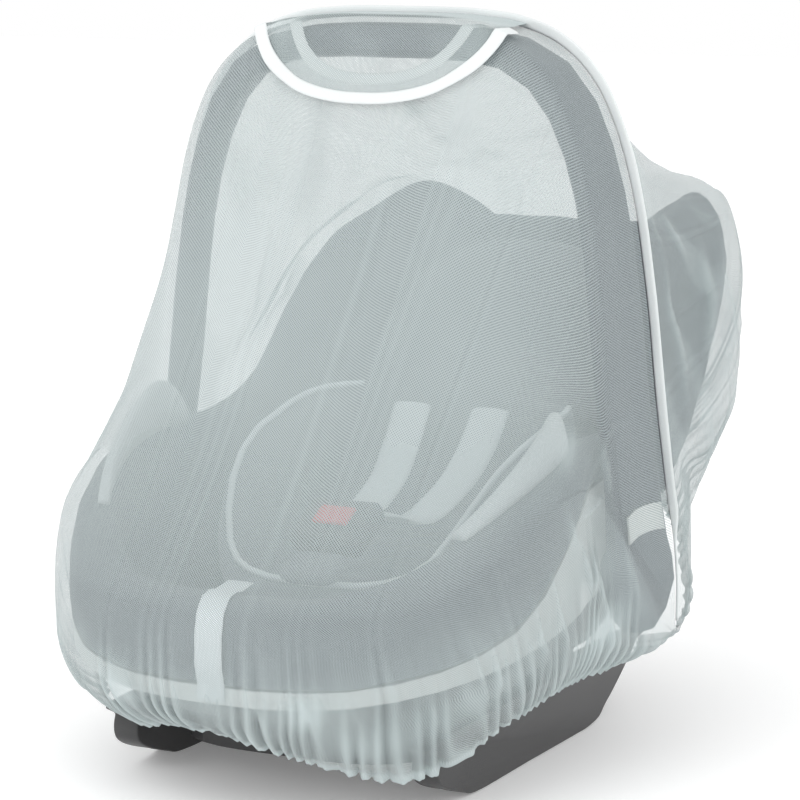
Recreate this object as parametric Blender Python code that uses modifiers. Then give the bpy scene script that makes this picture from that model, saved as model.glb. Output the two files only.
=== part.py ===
"""Mosquito net stretched over an infant car seat whose carrying handle stands upright.

The net is two sheer panels that meet in a bound seam over the handle. The front panel has a
bound hand opening under the bar, covered by a half-moon flap, and both panels are gathered
into an elastic hem below the rim of the seat. The seat under the net is built plain.

Frame: metres, +Z up, +X towards the near side, -Y towards the foot end. The tables below
measure along the seat from the handle's pivots; the finished part is then moved so that its
origin is on the floor under the middle of its box.
"""

import bmesh
import bpy
import numpy as np

# Driving sizes of the seat
SEAT_HALF_WIDTH = 0.208
FOOT_REACH = 0.300
HEAD_REACH = 0.362
FOOT_SQUARENESS = 2.75
HEAD_SQUARENESS = 3.4
WAIST_DEPTH = 0.13
WAIST_SPREAD = 0.080
HEAD_TAPER = 0.058
TAPER_ONSET = 2.4
INNER_ONSET = 1.3
HEAD_DIP = 0.042
CORNER_DROP = 0.012
HANDLE_TOE = np.radians(13.0)
HANDLE_LEAN = 0.0
PIVOT_HEIGHT = 0.138
PIVOT_RADIUS = 0.014
PIVOT_LENGTH = 0.0158
BUTTON_THICKNESS = 0.0018
BASE_HALF_WIDTH = 0.1177
BASE_TOP = 0.058
UNDERSIDE_HEIGHT = 0.080
UNDERSIDE_RISE = 0.32
BOX_MIDDLE = 0.0274
RAIL_INNER = 0.118
RAIL_OUTER = 0.140

# Driving sizes of the net
NET_THICKNESS = 0.0012
NET_CLEARANCE = 0.0034
RIM_CLEARANCE = 0.0062
HUB_CLEARANCE = 0.0020
BINDING_THICKNESS = 0.0018
SEAM_FIN_HEIGHT = 0.009
SEAM_FIN_THICKNESS = 0.002
SEAM_TURN = 0.024
FRONT_SEAM_GAP = 0.0016
REAR_SEAM_GAP = 0.0018
FREE_SPAN_SAG = 0.016
LONGEST_SPAN = 0.45
REAR_SKIRT = 0.030
CORNER_SLACK = 2.2
REAR_HUB_BULGE = 0.014
OPENING_HALF_WIDTH = 0.084
OPENING_DEPTH = 0.104
FLAP_HALF_WIDTH = 0.100
FLAP_DEPTH = 0.112
FLAP_LIFT = 0.0042
BINDING_LIFT = 0.0050
BINDING_WIDTH = 0.010
GATHERS = 34
GATHER_DEPTH = 0.0045
SEATED_GAP = 0.0003

# Facet counts
FRONT_COLUMNS = 100
REAR_COLUMNS = 64
SPAN_ROWS = 7
LOOP_POINTS = 52
ARCH_STATIONS = 34

# Heights along the seat, by distance behind the pivots (negative towards the foot end)
SIDE_STATIONS = np.array([
    # station, band lower edge, band upper edge, rim top, inside floor
    (-0.310, 0.086, 0.100, 0.164, 0.140),
    (-0.263, 0.097, 0.111, 0.172, 0.138),
    (-0.200, 0.109, 0.128, 0.206, 0.128),
    (-0.160, 0.117, 0.144, 0.224, 0.124),
    (-0.110, 0.126, 0.184, 0.240, 0.116),
    (-0.060, 0.129, 0.212, 0.248, 0.112),
    (0.000, 0.132, 0.220, 0.252, 0.112),
    (0.060, 0.138, 0.210, 0.256, 0.124),
    (0.120, 0.148, 0.190, 0.270, 0.166),
    (0.205, 0.176, 0.198, 0.350, 0.262),
    (0.270, 0.196, 0.213, 0.400, 0.340),
    (0.320, 0.206, 0.221, 0.416, 0.350),
    (0.345, 0.210, 0.225, 0.402, 0.344),
    (0.356, 0.212, 0.227, 0.378, 0.338),
    (0.366, 0.213, 0.228, 0.346, 0.336),
])
STATION, BAND_LOW, BAND_HIGH, RIM_TOP, FLOOR = SIDE_STATIONS.T

# Centre line of the handle on the near side, from the pivot's foot to the middle of the bar
HANDLE_ARCH = np.array([
    # across, height
    (0.2110, 0.104),
    (0.2110, 0.138),
    (0.2055, 0.205),
    (0.1950, 0.290),
    (0.1865, 0.370),
    (0.1775, 0.430),
    (0.1680, 0.467),
    (0.1580, 0.493),
    (0.1460, 0.515),
    (0.1320, 0.531),
    (0.1140, 0.5435),
    (0.0900, 0.5515),
    (0.0600, 0.5550),
    (0.0000, 0.5560),
])

# Section of the handle, by fraction of the arch from either foot
HANDLE_SECTIONS = np.array([
    # fraction, width, thickness
    (0.000, 0.030, 0.016),
    (0.012, 0.062, 0.020),
    (0.032, 0.084, 0.022),
    (0.058, 0.070, 0.020),
    (0.085, 0.064, 0.018),
    (0.200, 0.060, 0.017),
    (0.290, 0.056, 0.017),
    (0.380, 0.054, 0.022),
    (0.440, 0.052, 0.026),
    (0.500, 0.052, 0.027),
])

# Height of the elastic hem, by fraction of the way from the near pivot round to the far one
FRONT_HEM = np.array([
    # fraction, height
    (0.000, 0.094),
    (0.060, 0.084),
    (0.150, 0.075),
    (0.230, 0.060),
    (0.280, 0.042),
    (0.330, 0.034),
    (0.380, 0.042),
    (0.460, 0.057),
    (0.550, 0.064),
    (0.620, 0.055),
    (0.690, 0.058),
    (0.780, 0.070),
    (0.930, 0.084),
    (1.000, 0.094),
])
REAR_HEM = np.array([
    # fraction, height
    (0.000, 0.094),
    (0.050, 0.128),
    (0.120, 0.160),
    (0.200, 0.184),
    (0.300, 0.198),
    (0.500, 0.206),
    (0.700, 0.198),
    (0.800, 0.184),
    (0.880, 0.160),
    (0.950, 0.128),
    (1.000, 0.094),
])

# Top edge of the seat inlay
INSERT_RIM = np.array([
    # along the seat, height
    (-0.155, 0.145),
    (-0.130, 0.158),
    (-0.100, 0.190),
    (-0.070, 0.216),
    (-0.020, 0.238),
    (0.040, 0.250),
    (0.090, 0.256),
    (0.132, 0.258),
])

# Slack of the rear panel below the rim
REAR_BULGES = (
    # share of the way to the band, bulge beside the corners, bulge behind the head end
    (0.20, 0.022, 0.0150),
    (0.50, 0.034, 0.0262),
    (0.78, 0.022, 0.0220),
)

# Raised light edge on the long sides of the rim
WING_RISE = np.array([
    # along the seat, rise above the rim
    (-0.200, 0.006),
    (-0.160, 0.016),
    (-0.110, 0.030),
    (-0.075, 0.040),
    (-0.052, 0.036),
])
WING_WIDTH = 0.011
WING_INSET = 0.024
WING_GAP = 0.0001

# Rocker rail seen from the side
RAIL_OUTLINE = (
    # along the seat, height
    (-0.205, 0.022),
    (-0.165, 0.006),
    (-0.125, 0.000),
    (0.062, 0.000),
    (0.108, 0.014),
    (0.165, 0.050),
    (0.150, 0.056),
    (-0.190, 0.056),
    (-0.208, 0.042),
)

COLOURS = {
    # sub-part: (red, green, blue), roughness
    "net": ((0.82, 0.90, 0.89), 0.85),
    "tape": ((0.93, 0.95, 0.95), 0.7),
    "cover": ((0.17, 0.18, 0.21), 0.9),
    "insert": ((0.26, 0.27, 0.30), 0.9),
    "piping": ((0.80, 0.84, 0.87), 0.7),
    "shell": ((0.045, 0.045, 0.045), 0.5),
    "handle": ((0.075, 0.08, 0.09), 0.45),
    "light": ((0.78, 0.80, 0.80), 0.45),
    "strap": ((0.80, 0.83, 0.85), 0.8),
    "red": ((0.65, 0.05, 0.05), 0.4),
}


def make_collection(name):
    """Collection linked to the scene."""
    collection = bpy.data.collections.new(name)
    bpy.context.scene.collection.children.link(collection)
    return collection


def make_material(name, kind):
    """Principled material of one sub-part."""
    colour, roughness = COLOURS[kind]
    material = bpy.data.materials.new(name)
    material.use_nodes = True
    shader = material.node_tree.nodes["Principled BSDF"]
    shader.inputs["Base Color"].default_value = (*colour, 1.0)
    shader.inputs["Roughness"].default_value = roughness
    material.diffuse_color = (*colour, 1.0)
    return material


def add_part(collection, name, mesh, kind):
    """Object with its own material, linked to the part's collection."""
    part = bpy.data.objects.new(name, mesh)
    collection.objects.link(part)
    mesh.materials.append(make_material(name, kind))
    mesh.shade_smooth()
    return part


def smooth_table(x, xs, ys):
    """Cubic Hermite curve through a short table, flat past its ends."""
    x = np.clip(np.asarray(x, dtype=float), xs[0], xs[-1])
    slopes = np.gradient(ys, xs)
    left = np.clip(np.searchsorted(xs, x) - 1, 0, len(xs) - 2)
    span = xs[left + 1] - xs[left]
    s = (x - xs[left]) / span
    rise = ys[left] * (1 + 2 * s) * (1 - s) ** 2 + ys[left + 1] * s ** 2 * (3 - 2 * s)
    return rise + span * (slopes[left] * s * (1 - s) ** 2 - slopes[left + 1] * s ** 2 * (1 - s))


def smooth_step(x):
    """0 to 1 with level ends."""
    s = np.clip(x, 0.0, 1.0)
    return s * s * (3.0 - 2.0 * s)


def resample(points, fractions):
    """Points at fractions of a polyline's length."""
    steps = np.linalg.norm(np.diff(points, axis=0), axis=1)
    length = np.concatenate([[0.0], np.cumsum(steps)])
    wanted = np.asarray(fractions) * length[-1]
    return np.stack([np.interp(wanted, length, column) for column in points.T], axis=1)


def arch_path(fractions):
    """Handle centre line and its outward normal, from the near foot over to the far one."""
    far_half = HANDLE_ARCH[-2::-1] * (-1.0, 1.0)
    knots = np.vstack([HANDLE_ARCH, far_half])
    steps = np.linalg.norm(np.diff(knots, axis=0), axis=1)
    along = np.concatenate([[0.0], np.cumsum(steps)])
    fine = np.linspace(0.0, along[-1], 400)
    curve = np.stack([smooth_table(fine, along, column) for column in knots.T], axis=1)
    flat = resample(curve, fractions)
    spread = 0.004
    ahead = resample(curve, np.clip(np.asarray(fractions) + spread, 0.0, 1.0))
    behind = resample(curve, np.clip(np.asarray(fractions) - spread, 0.0, 1.0))
    tangent = ahead - behind
    tangent /= np.linalg.norm(tangent, axis=1)[:, None]
    centre = np.stack([flat[:, 0], HANDLE_LEAN * (flat[:, 1] - PIVOT_HEIGHT), flat[:, 1]], axis=1)
    outward = np.stack([tangent[:, 1], np.zeros(len(flat)), -tangent[:, 0]], axis=1)
    return centre, outward


def arch_length():
    """Length of the handle's centre line."""
    centre, _ = arch_path(np.linspace(0.0, 1.0, 200))
    return np.linalg.norm(np.diff(centre, axis=0), axis=1).sum()


def handle_axes(fractions):
    """Section axes of the handle: through its thickness and along its width, toed in."""
    centre, outward = arch_path(fractions)
    toe = HANDLE_TOE * np.clip(np.abs(outward[:, 0]), 0.0, 1.0)
    backward = np.zeros_like(outward)
    backward[:, 1] = 1.0
    through = outward * np.cos(toe)[:, None] - backward * np.sin(toe)[:, None]
    along = outward * np.sin(toe)[:, None] + backward * np.cos(toe)[:, None]
    return centre, through, along


def handle_section(fractions):
    """Width and thickness of the handle at fractions of the arch."""
    from_foot = np.minimum(fractions, 1.0 - np.asarray(fractions))
    station, width, thickness = HANDLE_SECTIONS.T
    return smooth_table(from_foot, station, width), smooth_table(from_foot, station, thickness)


def seam_line(fractions, lift=0.0):
    """Line where the two panels meet, on the rear part of the handle's outer face."""
    fractions = np.clip(fractions, 0.0, 1.0)
    centre, through, along = handle_axes(fractions)
    from_foot = np.minimum(fractions, 1.0 - fractions)
    width, thickness = handle_section(np.clip(from_foot, 0.050, 0.5))
    side = 0.46 * np.clip(width, 0.050, 0.060)
    lift = lift + HUB_CLEARANCE * (1 - smooth_step((from_foot - 0.050) / 0.050))
    return (centre + through * (thickness / 2 + NET_CLEARANCE + lift)[:, None]
            + along * side[:, None])


def handle_edge(fractions, side, lift):
    """Line along the handle's outer face: side -1 is its front edge, +1 its rear edge."""
    centre, through, along = handle_axes(fractions)
    width, thickness = handle_section(fractions)
    return (centre + through * (thickness / 2 + lift)[:, None]
            + along * (side * width / 2)[:, None])


def outline(angles, outset=0.0, waist=True, taper=0.0, onset=TAPER_ONSET):
    """Plan outline of the seat: angle 0 at the near pivot, a quarter turn at the foot end."""
    cosine = np.cos(angles)
    sine = np.sin(angles)
    at_foot = sine > 0
    outset = outset - taper * HEAD_TAPER * smooth_step(-onset * sine)
    squareness = np.where(at_foot, FOOT_SQUARENESS, HEAD_SQUARENESS)
    reach = np.where(at_foot, FOOT_REACH, HEAD_REACH) + outset
    across = (SEAT_HALF_WIDTH + outset) * np.sign(cosine) * np.abs(cosine) ** (2 / squareness)
    along = -np.sign(sine) * reach * np.abs(sine) ** (2 / squareness)
    if waist:
        across = across * (1 - WAIST_DEPTH * np.exp(-(along / WAIST_SPREAD) ** 2))
    return across, along


def loop_angles(start, stop, fractions):
    """Angles that space points evenly along the outline."""
    fine = np.linspace(start, stop, 2400)
    across, along = outline(fine, waist=False)
    steps = np.hypot(np.diff(across), np.diff(along))
    length = np.concatenate([[0.0], np.cumsum(steps)])
    return np.interp(np.asarray(fractions) * length[-1], length, fine)


def seat_loop():
    """Angles of a whole loop, from the foot tip round the near side, mirror-symmetric."""
    half = loop_angles(np.pi / 2, -np.pi / 2, np.linspace(0.0, 1.0, LOOP_POINTS // 2 + 1))
    return np.concatenate([half, np.pi - half[-2:0:-1]])


def ring(inset, heights, taper=0.0, onset=TAPER_ONSET):
    """Loop of points inside the seat's outline at a height for each station along it."""
    across, along = outline(seat_loop(), -inset, True, taper, onset)
    return np.stack([across, along, heights(along)], axis=1)


def joint_ring(inset, heights):
    """Loop like ring, with heights read at the outline so that stacked pieces stay parallel."""
    across, along = outline(seat_loop(), -inset, True, 1.0)
    return np.stack([across, along, heights(outline(seat_loop())[1])], axis=1)


def head_dip(across, along):
    """Depth of the dip in the rim in the middle of the head end."""
    inside = 1 - smooth_step((np.abs(across) - 0.025) / 0.110)
    return HEAD_DIP * inside * smooth_step((along - 0.240) / 0.080)


def corner_drop(across, along):
    """Depth by which the rim rounds down at the corners of the head end."""
    return CORNER_DROP * smooth_step((np.abs(across) - 0.115) / 0.060) \
        * smooth_step((along - 0.220) / 0.070)


def rim_ring(inset, heights, taper=0.0):
    """Loop on the rim, dipped in the middle of the head end and lower at its corners."""
    points = ring(inset, heights, taper)
    points[:, 2] -= head_dip(points[:, 0], points[:, 1])
    points[:, 2] -= corner_drop(points[:, 0], points[:, 1])
    return points


def level(share, drop=0.0):
    """Height between the band's upper edge (0) and the rim's top (1)."""
    def heights(along):
        low = smooth_table(along, STATION, BAND_HIGH)
        high = smooth_table(along, STATION, RIM_TOP)
        return low + share * (high - low) - drop
    return heights


def underside(along):
    """Bottom of the padded cover inside the shell, rising towards the head end."""
    return UNDERSIDE_HEIGHT + UNDERSIDE_RISE * np.maximum(along - 0.070, 0.0)


def ring_stack(rings, name):
    """Closed solid: rings joined in order, each end closed straight across the seat."""
    count = len(rings[0])
    points = np.vstack(rings)
    faces = []
    for row in range(len(rings) - 1):
        for i in range(count):
            j = (i + 1) % count
            a = row * count
            b = a + count
            faces.append((a + i, a + j, b + j, b + i))
    top = (len(rings) - 1) * count
    half = count // 2
    for base, flip in ((0, True), (top, False)):
        for i in range(half):
            left = (count - i) % count
            face = [base + i, base + i + 1, base + (count - i - 1), base + left]
            face = list(dict.fromkeys(face))
            faces.append(tuple(reversed(face)) if flip else tuple(face))
    mesh = bpy.data.meshes.new(name)
    mesh.from_pydata(points.tolist(), [], faces)
    face_outwards(mesh)
    return mesh


def face_outwards(mesh):
    """Turn a closed mesh's faces outwards."""
    work = bmesh.new()
    work.from_mesh(mesh)
    bmesh.ops.recalc_face_normals(work, faces=work.faces)
    work.to_mesh(mesh)
    work.free()


def grid_mesh(grid, name, closed=False):
    """Open sheet through a grid of points, or a tube if its rows close on themselves."""
    rows, columns, _ = grid.shape
    faces = []
    last = columns if closed else columns - 1
    for i in range(rows - 1):
        for j in range(last):
            k = (j + 1) % columns
            faces.append((i * columns + j, i * columns + k,
                          (i + 1) * columns + k, (i + 1) * columns + j))
    if closed:
        faces.append(tuple(reversed(range(columns))))
        faces.append(tuple(range((rows - 1) * columns, rows * columns)))
    mesh = bpy.data.meshes.new(name)
    mesh.from_pydata(grid.reshape(-1, 3).tolist(), [], faces)
    if closed:
        face_outwards(mesh)
    return mesh


def add_sheet(collection, name, grid, kind, thickness):
    """Cloth of even thickness on a grid of points."""
    part = add_part(collection, name, grid_mesh(grid, name), kind)
    solidify = part.modifiers.new("thickness", "SOLIDIFY")
    solidify.thickness = thickness
    solidify.offset = 0.0
    return part


def add_plate(collection, name, points, thickness, kind):
    """Flat outline in the YZ plane, extruded along X about the outline's own plane."""
    curve = bpy.data.curves.new(name, "CURVE")
    curve.dimensions = "2D"
    curve.fill_mode = "BOTH"
    curve.extrude = thickness / 2
    spline = curve.splines.new("POLY")
    spline.points.add(len(points) - 1)
    for point, (along, height) in zip(spline.points, points):
        point.co = (along, height, 0.0, 1.0)
    spline.use_cyclic_u = True
    plate = bpy.data.objects.new(name, curve)
    collection.objects.link(plate)
    plate.rotation_euler = (np.pi / 2, 0.0, np.pi / 2)
    curve.materials.append(make_material(name, kind))
    return plate


def add_shell(collection):
    """Hard lower shell: from the band's lower edge down to the flat base."""
    def lowered(share):
        def heights(along):
            return BASE_TOP + share * (smooth_table(along, STATION, BAND_LOW) - BASE_TOP)
        return heights

    def base_ring(height, squareness=4.0, foot=0.195, head=0.150):
        turn = seat_loop()
        cosine = np.cos(turn)
        sine = np.sin(turn)
        across = BASE_HALF_WIDTH * np.sign(cosine) * np.abs(cosine) ** (2 / squareness)
        reach = np.where(sine > 0, foot, head)
        along = -np.sign(sine) * reach * np.abs(sine) ** (2 / squareness)
        return np.stack([across, along, np.full(len(turn), height)], axis=1)

    gap = 0.0020
    rings = [
        base_ring(0.024),
        base_ring(BASE_TOP),
        joint_ring(0.052, lowered(0.20)),
        joint_ring(0.030, lowered(0.60)),
        joint_ring(0.012, lowered(1.0)),
        joint_ring(0.012, level(0.0, gap)),
        joint_ring(0.0195, level(0.0, gap)),
        joint_ring(0.0565, lambda along: underside(along) - gap),
        joint_ring(0.085, lambda along: underside(along) - gap),
    ]
    add_part(collection, "seat_shell", ring_stack(rings, "seat_shell"), "shell")


def add_band(collection):
    """Light trim band round the shell, under the padded cover."""
    gap = 4 * SEATED_GAP

    def band(share):
        def heights(along):
            low = smooth_table(along, STATION, BAND_LOW)
            high = smooth_table(along, STATION, BAND_HIGH) - gap
            return low + share * (high - low)
        return heights

    sections = ((0.0117, 0.0), (0.002, 0.0), (0.001, 0.5), (0.002, 1.0), (0.0117, 1.0))
    grid = np.stack([joint_ring(inset, band(share)) for inset, share in sections], axis=0)
    rows, columns, _ = grid.shape
    faces = []
    for i in range(rows):
        for j in range(columns):
            k = (j + 1) % columns
            m = (i + 1) % rows
            faces.append((i * columns + j, i * columns + k, m * columns + k, m * columns + j))
    mesh = bpy.data.meshes.new("trim_band")
    mesh.from_pydata(grid.reshape(-1, 3).tolist(), [], faces)
    face_outwards(mesh)
    add_part(collection, "trim_band", mesh, "light")


def inner_floor(along):
    """Height of the padded floor inside the seat."""
    return smooth_table(along, STATION, FLOOR)


def add_cover(collection):
    """Padded cover: up the outside, over the rim and down into the seat."""
    rings = [
        joint_ring(0.085, underside),
        joint_ring(0.064, underside),
        joint_ring(0.0235, level(0.0)),
        joint_ring(0.002, level(0.0)),
        ring(-0.002, level(0.25), 0.72),
        ring(-0.002, level(0.60), 0.25),
        rim_ring(0.002, level(0.86), 0.03),
        rim_ring(0.010, level(0.985)),
        rim_ring(0.019, level(1.0, 0.0005)),
        rim_ring(0.028, level(0.95)),
        ring(0.040, lambda along: 0.55 * level(1.0)(along) + 0.45 * inner_floor(along),
             0.117, INNER_ONSET),
        ring(0.062, lambda along: inner_floor(along) + 0.012, 0.234, INNER_ONSET),
        ring(0.092, inner_floor, 0.352, INNER_ONSET),
    ]
    add_part(collection, "seat_cover", ring_stack(rings, "seat_cover"), "cover")


def add_handle(collection):
    """Carrying handle: a flat rounded section swept over the arch, swollen at the pivots."""
    fractions = np.linspace(0.0, 1.0, ARCH_STATIONS + 1)
    fractions = np.sort(np.concatenate([fractions, [0.012, 0.045, 0.955, 0.988]]))
    centre, through, along = handle_axes(fractions)
    width, thickness = handle_section(fractions)
    corners = 12
    turn = (np.arange(corners) + 0.5) * 2 * np.pi / corners
    roundness = 2 / 3.5
    deep = 0.5 * np.sign(np.cos(turn)) * np.abs(np.cos(turn)) ** roundness
    wide = 0.5 * np.sign(np.sin(turn)) * np.abs(np.sin(turn)) ** roundness
    grid = (centre[:, None, :]
            + through[:, None, :] * (thickness[:, None] * deep[None, :])[:, :, None]
            + along[:, None, :] * (width[:, None] * wide[None, :])[:, :, None])
    add_part(collection, "carry_handle", grid_mesh(grid, "carry_handle", closed=True), "handle")


def oval_loop(half_width, front, rear, middle, squareness, count):
    """Mirror-symmetric closed outline in plan, from its front tip round the near side."""
    turn = np.pi / 2 - 2 * np.pi * np.arange(count) / count
    cosine = np.cos(turn)
    sine = np.sin(turn)
    across = half_width * np.sign(cosine) * np.abs(cosine) ** (2 / squareness)
    reach = np.where(sine > 0, front, rear)
    along = middle - np.sign(sine) * reach * np.abs(sine) ** (2 / squareness)
    return across, along


def insert_ring(scale, heights):
    """Loop of the seat inlay, shrunk about its middle."""
    middle = 0.040
    across, along = oval_loop(0.124, 0.195, 0.092, middle, 3.0, 36)
    station, rim = INSERT_RIM.T
    rim_height = smooth_table(along, station, rim)
    across = across * scale
    along = middle + (along - middle) * scale
    return np.stack([across, along, heights(inner_floor(along), rim_height)], axis=1)


def add_insert(collection):
    """Padded seat inlay with a raised edge, lying on the padded floor."""
    rings = [
        insert_ring(0.72, lambda floor, rim: floor + 0.0012),
        insert_ring(0.92, lambda floor, rim: floor + 0.0112),
        insert_ring(0.97, lambda floor, rim: 0.5 * (floor + rim)),
        insert_ring(1.00, lambda floor, rim: rim - 0.010),
        insert_ring(0.98, lambda floor, rim: rim - 0.002),
        insert_ring(0.93, lambda floor, rim: rim - 0.001),
        insert_ring(0.88, lambda floor, rim: rim - 0.012),
        insert_ring(0.76, lambda floor, rim: 0.6 * floor + 0.4 * rim),
        insert_ring(0.52, lambda floor, rim: floor + 0.022),
    ]
    add_part(collection, "seat_inlay", ring_stack(rings, "seat_inlay"), "insert")


def add_inlay_piping(collection):
    """Light piping round the top edge of the inlay, open behind."""
    loop = insert_ring(0.955, lambda floor, rim: rim + 0.0032)
    count = len(loop)
    keep = 14
    order = np.arange(-keep, keep + 1) % count
    add_tube(collection, "inlay_piping", loop[order], 0.0028, "piping")


def add_tube(collection, name, points, radius, kind):
    """Round cord along a path."""
    curve = bpy.data.curves.new(name, "CURVE")
    curve.dimensions = "3D"
    curve.bevel_depth = radius
    curve.bevel_resolution = 1
    curve.use_fill_caps = True
    spline = curve.splines.new("POLY")
    spline.points.add(len(points) - 1)
    for point, place in zip(spline.points, points):
        point.co = (*place, 1.0)
    tube = bpy.data.objects.new(name, curve)
    collection.objects.link(tube)
    curve.materials.append(make_material(name, kind))
    return tube


def add_head_pad(collection):
    """Head support: an arched pad leaning on the back of the seat."""
    foot = np.array([0.0, 0.1604, 0.2102])
    lean = np.radians(53.0)
    up = np.array([0.0, np.cos(lean), np.sin(lean)])
    out = np.array([0.0, -np.sin(lean), np.cos(lean)])
    side = np.array([1.0, 0.0, 0.0])
    across, rise = oval_loop(0.122, 0.012, 0.172, 0.018, 2.6, 32)
    middle = 0.085
    rings = []
    for scale, depth in ((0.80, 0.0), (0.96, 0.004), (1.0, 0.014), (0.96, 0.024),
                         (0.84, 0.030), (0.55, 0.026)):
        local_rise = middle + (rise - middle) * scale
        rings.append(foot + side * (across * scale)[:, None] + up * local_rise[:, None]
                     + out * depth)
    add_part(collection, "head_pad", ring_stack(rings, "head_pad"), "insert")


def add_ribbon(collection, name, route, width, thickness, kind, steps):
    """Webbing along a route of (across, along, height) points, its width across the seat."""
    route = np.asarray(route)
    at = np.linspace(0.0, 1.0, len(route))
    fine = np.linspace(0.0, 1.0, steps)
    path = np.stack([smooth_table(fine, at, column) for column in route.T], axis=1)
    half = np.array([width / 2, 0.0, 0.0])
    grid = np.stack([path - half, path + half], axis=0)
    return add_sheet(collection, name, grid, kind, thickness)


def add_harness(collection):
    """Shoulder straps, crotch pad and buckle."""
    for side, name in ((1, "harness_near"), (-1, "harness_far")):
        route = (
            (side * 0.022, -0.0762, 0.1926),
            (side * 0.026, -0.020, 0.178),
            (side * 0.030, 0.040, 0.195),
            (side * 0.034, 0.075, 0.220),
            (side * 0.036, 0.100, 0.250),
        )
        add_ribbon(collection, name, route, 0.034, 0.004, "strap", 9)
    bpy.ops.mesh.primitive_cube_add(size=1.0, location=(0.0, -0.102, 0.184),
                                    rotation=(np.radians(28.0), 0.0, 0.0))
    buckle = bpy.context.object
    finish_primitive(collection, buckle, "buckle", (0.062, 0.052, 0.020), 0.006, "shell")
    bpy.ops.mesh.primitive_cube_add(size=1.0, location=(0.0, -0.1076, 0.1946),
                                    rotation=(np.radians(28.0), 0.0, 0.0))
    release = bpy.context.object
    finish_primitive(collection, release, "buckle_release", (0.030, 0.020, 0.0034), 0.001, "red")
    bpy.ops.mesh.primitive_cube_add(size=1.0, location=(0.0, -0.1402, 0.1589),
                                    rotation=(np.radians(20.0), 0.0, 0.0))
    pad = bpy.context.object
    finish_primitive(collection, pad, "crotch_pad", (0.050, 0.0382, 0.010), 0.004, "insert")


def finish_primitive(collection, part, name, size, bevel, kind):
    """Name a unit primitive, give it its size, rounded edges and material."""
    part.name = name
    part.data.name = name
    for vertex in part.data.vertices:
        vertex.co = [value * length for value, length in zip(vertex.co, size)]
    rounding = part.modifiers.new("rounding", "BEVEL")
    rounding.width = bevel
    rounding.segments = 2
    part.data.materials.append(make_material(name, kind))
    for owner in list(part.users_collection):
        owner.objects.unlink(part)
    collection.objects.link(part)


def add_adjuster_strap(collection):
    """Light strap over the middle of the foot end's rim."""
    lift = 0.0016
    stops = ((0.046, 0.90), (0.028, 0.95), (0.019, 1.0), (0.010, 0.985), (0.002, 0.86),
             (-0.002, 0.60), (-0.002, 0.25), (0.002, 0.0), (0.001, -0.10), (0.002, -0.18))
    profile = []
    for inset, share in stops:
        along = -FOOT_REACH + inset
        profile.append((along, float(level(share)(np.array([along]))[0])))
    profile = np.array(profile)
    tangent = np.gradient(profile, axis=0)
    tangent /= np.linalg.norm(tangent, axis=1)[:, None]
    outer = profile + lift * np.stack([tangent[:, 1], -tangent[:, 0]], axis=1)
    half = 0.0115
    grid = np.stack([np.column_stack([np.full(len(outer), x), outer]) for x in (-half, half)])
    add_sheet(collection, "adjuster_strap", grid, "strap", 0.0012)


def add_side_wings(collection):
    """Light raised edge on each long side of the rim, climbing towards the handle."""
    stations, rises = WING_RISE.T
    along = np.linspace(stations[0], stations[-1], 15)
    rise = smooth_table(along, stations, rises)
    top = smooth_table(along, STATION, RIM_TOP)
    reach = (np.abs(along) / (FOOT_REACH - WING_INSET)) ** FOOT_SQUARENESS
    across = (SEAT_HALF_WIDTH - WING_INSET) * (1 - reach) ** (1 / FOOT_SQUARENESS)
    across *= 1 - WAIST_DEPTH * np.exp(-(along / WAIST_SPREAD) ** 2)
    corners = ((-0.5, 0.0), (0.5, 0.0), (0.5, 0.78), (0.28, 1.0), (-0.28, 1.0), (-0.5, 0.78))
    for side, name in ((1, "side_wing_near"), (-1, "side_wing_far")):
        loops = []
        for shift, share in corners:
            loops.append(np.stack([side * (across + shift * WING_WIDTH), along,
                                   top + WING_GAP + share * rise], axis=1))
        mesh = grid_mesh(np.stack(loops, axis=1), name, closed=True)
        add_part(collection, name, mesh, "light")


def add_base(collection):
    """Two rocker rails under the shell."""
    middle = (RAIL_INNER + RAIL_OUTER) / 2
    for side, name in ((1, "rocker_near"), (-1, "rocker_far")):
        rail = add_plate(collection, name, RAIL_OUTLINE, RAIL_OUTER - RAIL_INNER, "shell")
        rail.location.x = side * middle


def add_buttons(collection):
    """Light release buttons on the outer faces of the handle's feet."""
    for name, low, high in (("button_near", 0.066, 0.084), ("button_far", 0.934, 0.916)):
        rows = []
        for share in (0.0, 0.5, 1.0):
            across = np.linspace(-0.72, 0.66, 5)
            lean = np.array([-0.004, 0.0, 0.001, 0.001, 0.0]) * np.sign(high - low)
            fractions = low + (high - low) * share + lean
            rows.append(handle_edge(fractions, across, 0.0013))
        add_sheet(collection, name, np.stack(rows), "light", BUTTON_THICKNESS)


def add_pivots(collection):
    """Bosses between the trim band and the inner faces of the handle's feet."""
    for side, name in ((1, "pivot_near"), (-1, "pivot_far")):
        toe = side * HANDLE_TOE
        through = np.array([side * np.cos(toe), -np.abs(np.sin(toe)), 0.0])
        face = np.array([side * 0.2105, 0.0, PIVOT_HEIGHT + 0.012]) - through * 0.0114
        centre = face - through * PIVOT_LENGTH / 2
        bpy.ops.mesh.primitive_cylinder_add(
            vertices=16, radius=PIVOT_RADIUS, depth=PIVOT_LENGTH, location=tuple(centre),
            rotation=(0.0, np.pi / 2, -toe))
        boss = bpy.context.object
        boss.name = name
        boss.data.name = name
        boss.data.materials.append(make_material(name, "handle"))
        for owner in list(boss.users_collection):
            owner.objects.unlink(boss)
        collection.objects.link(boss)


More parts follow.
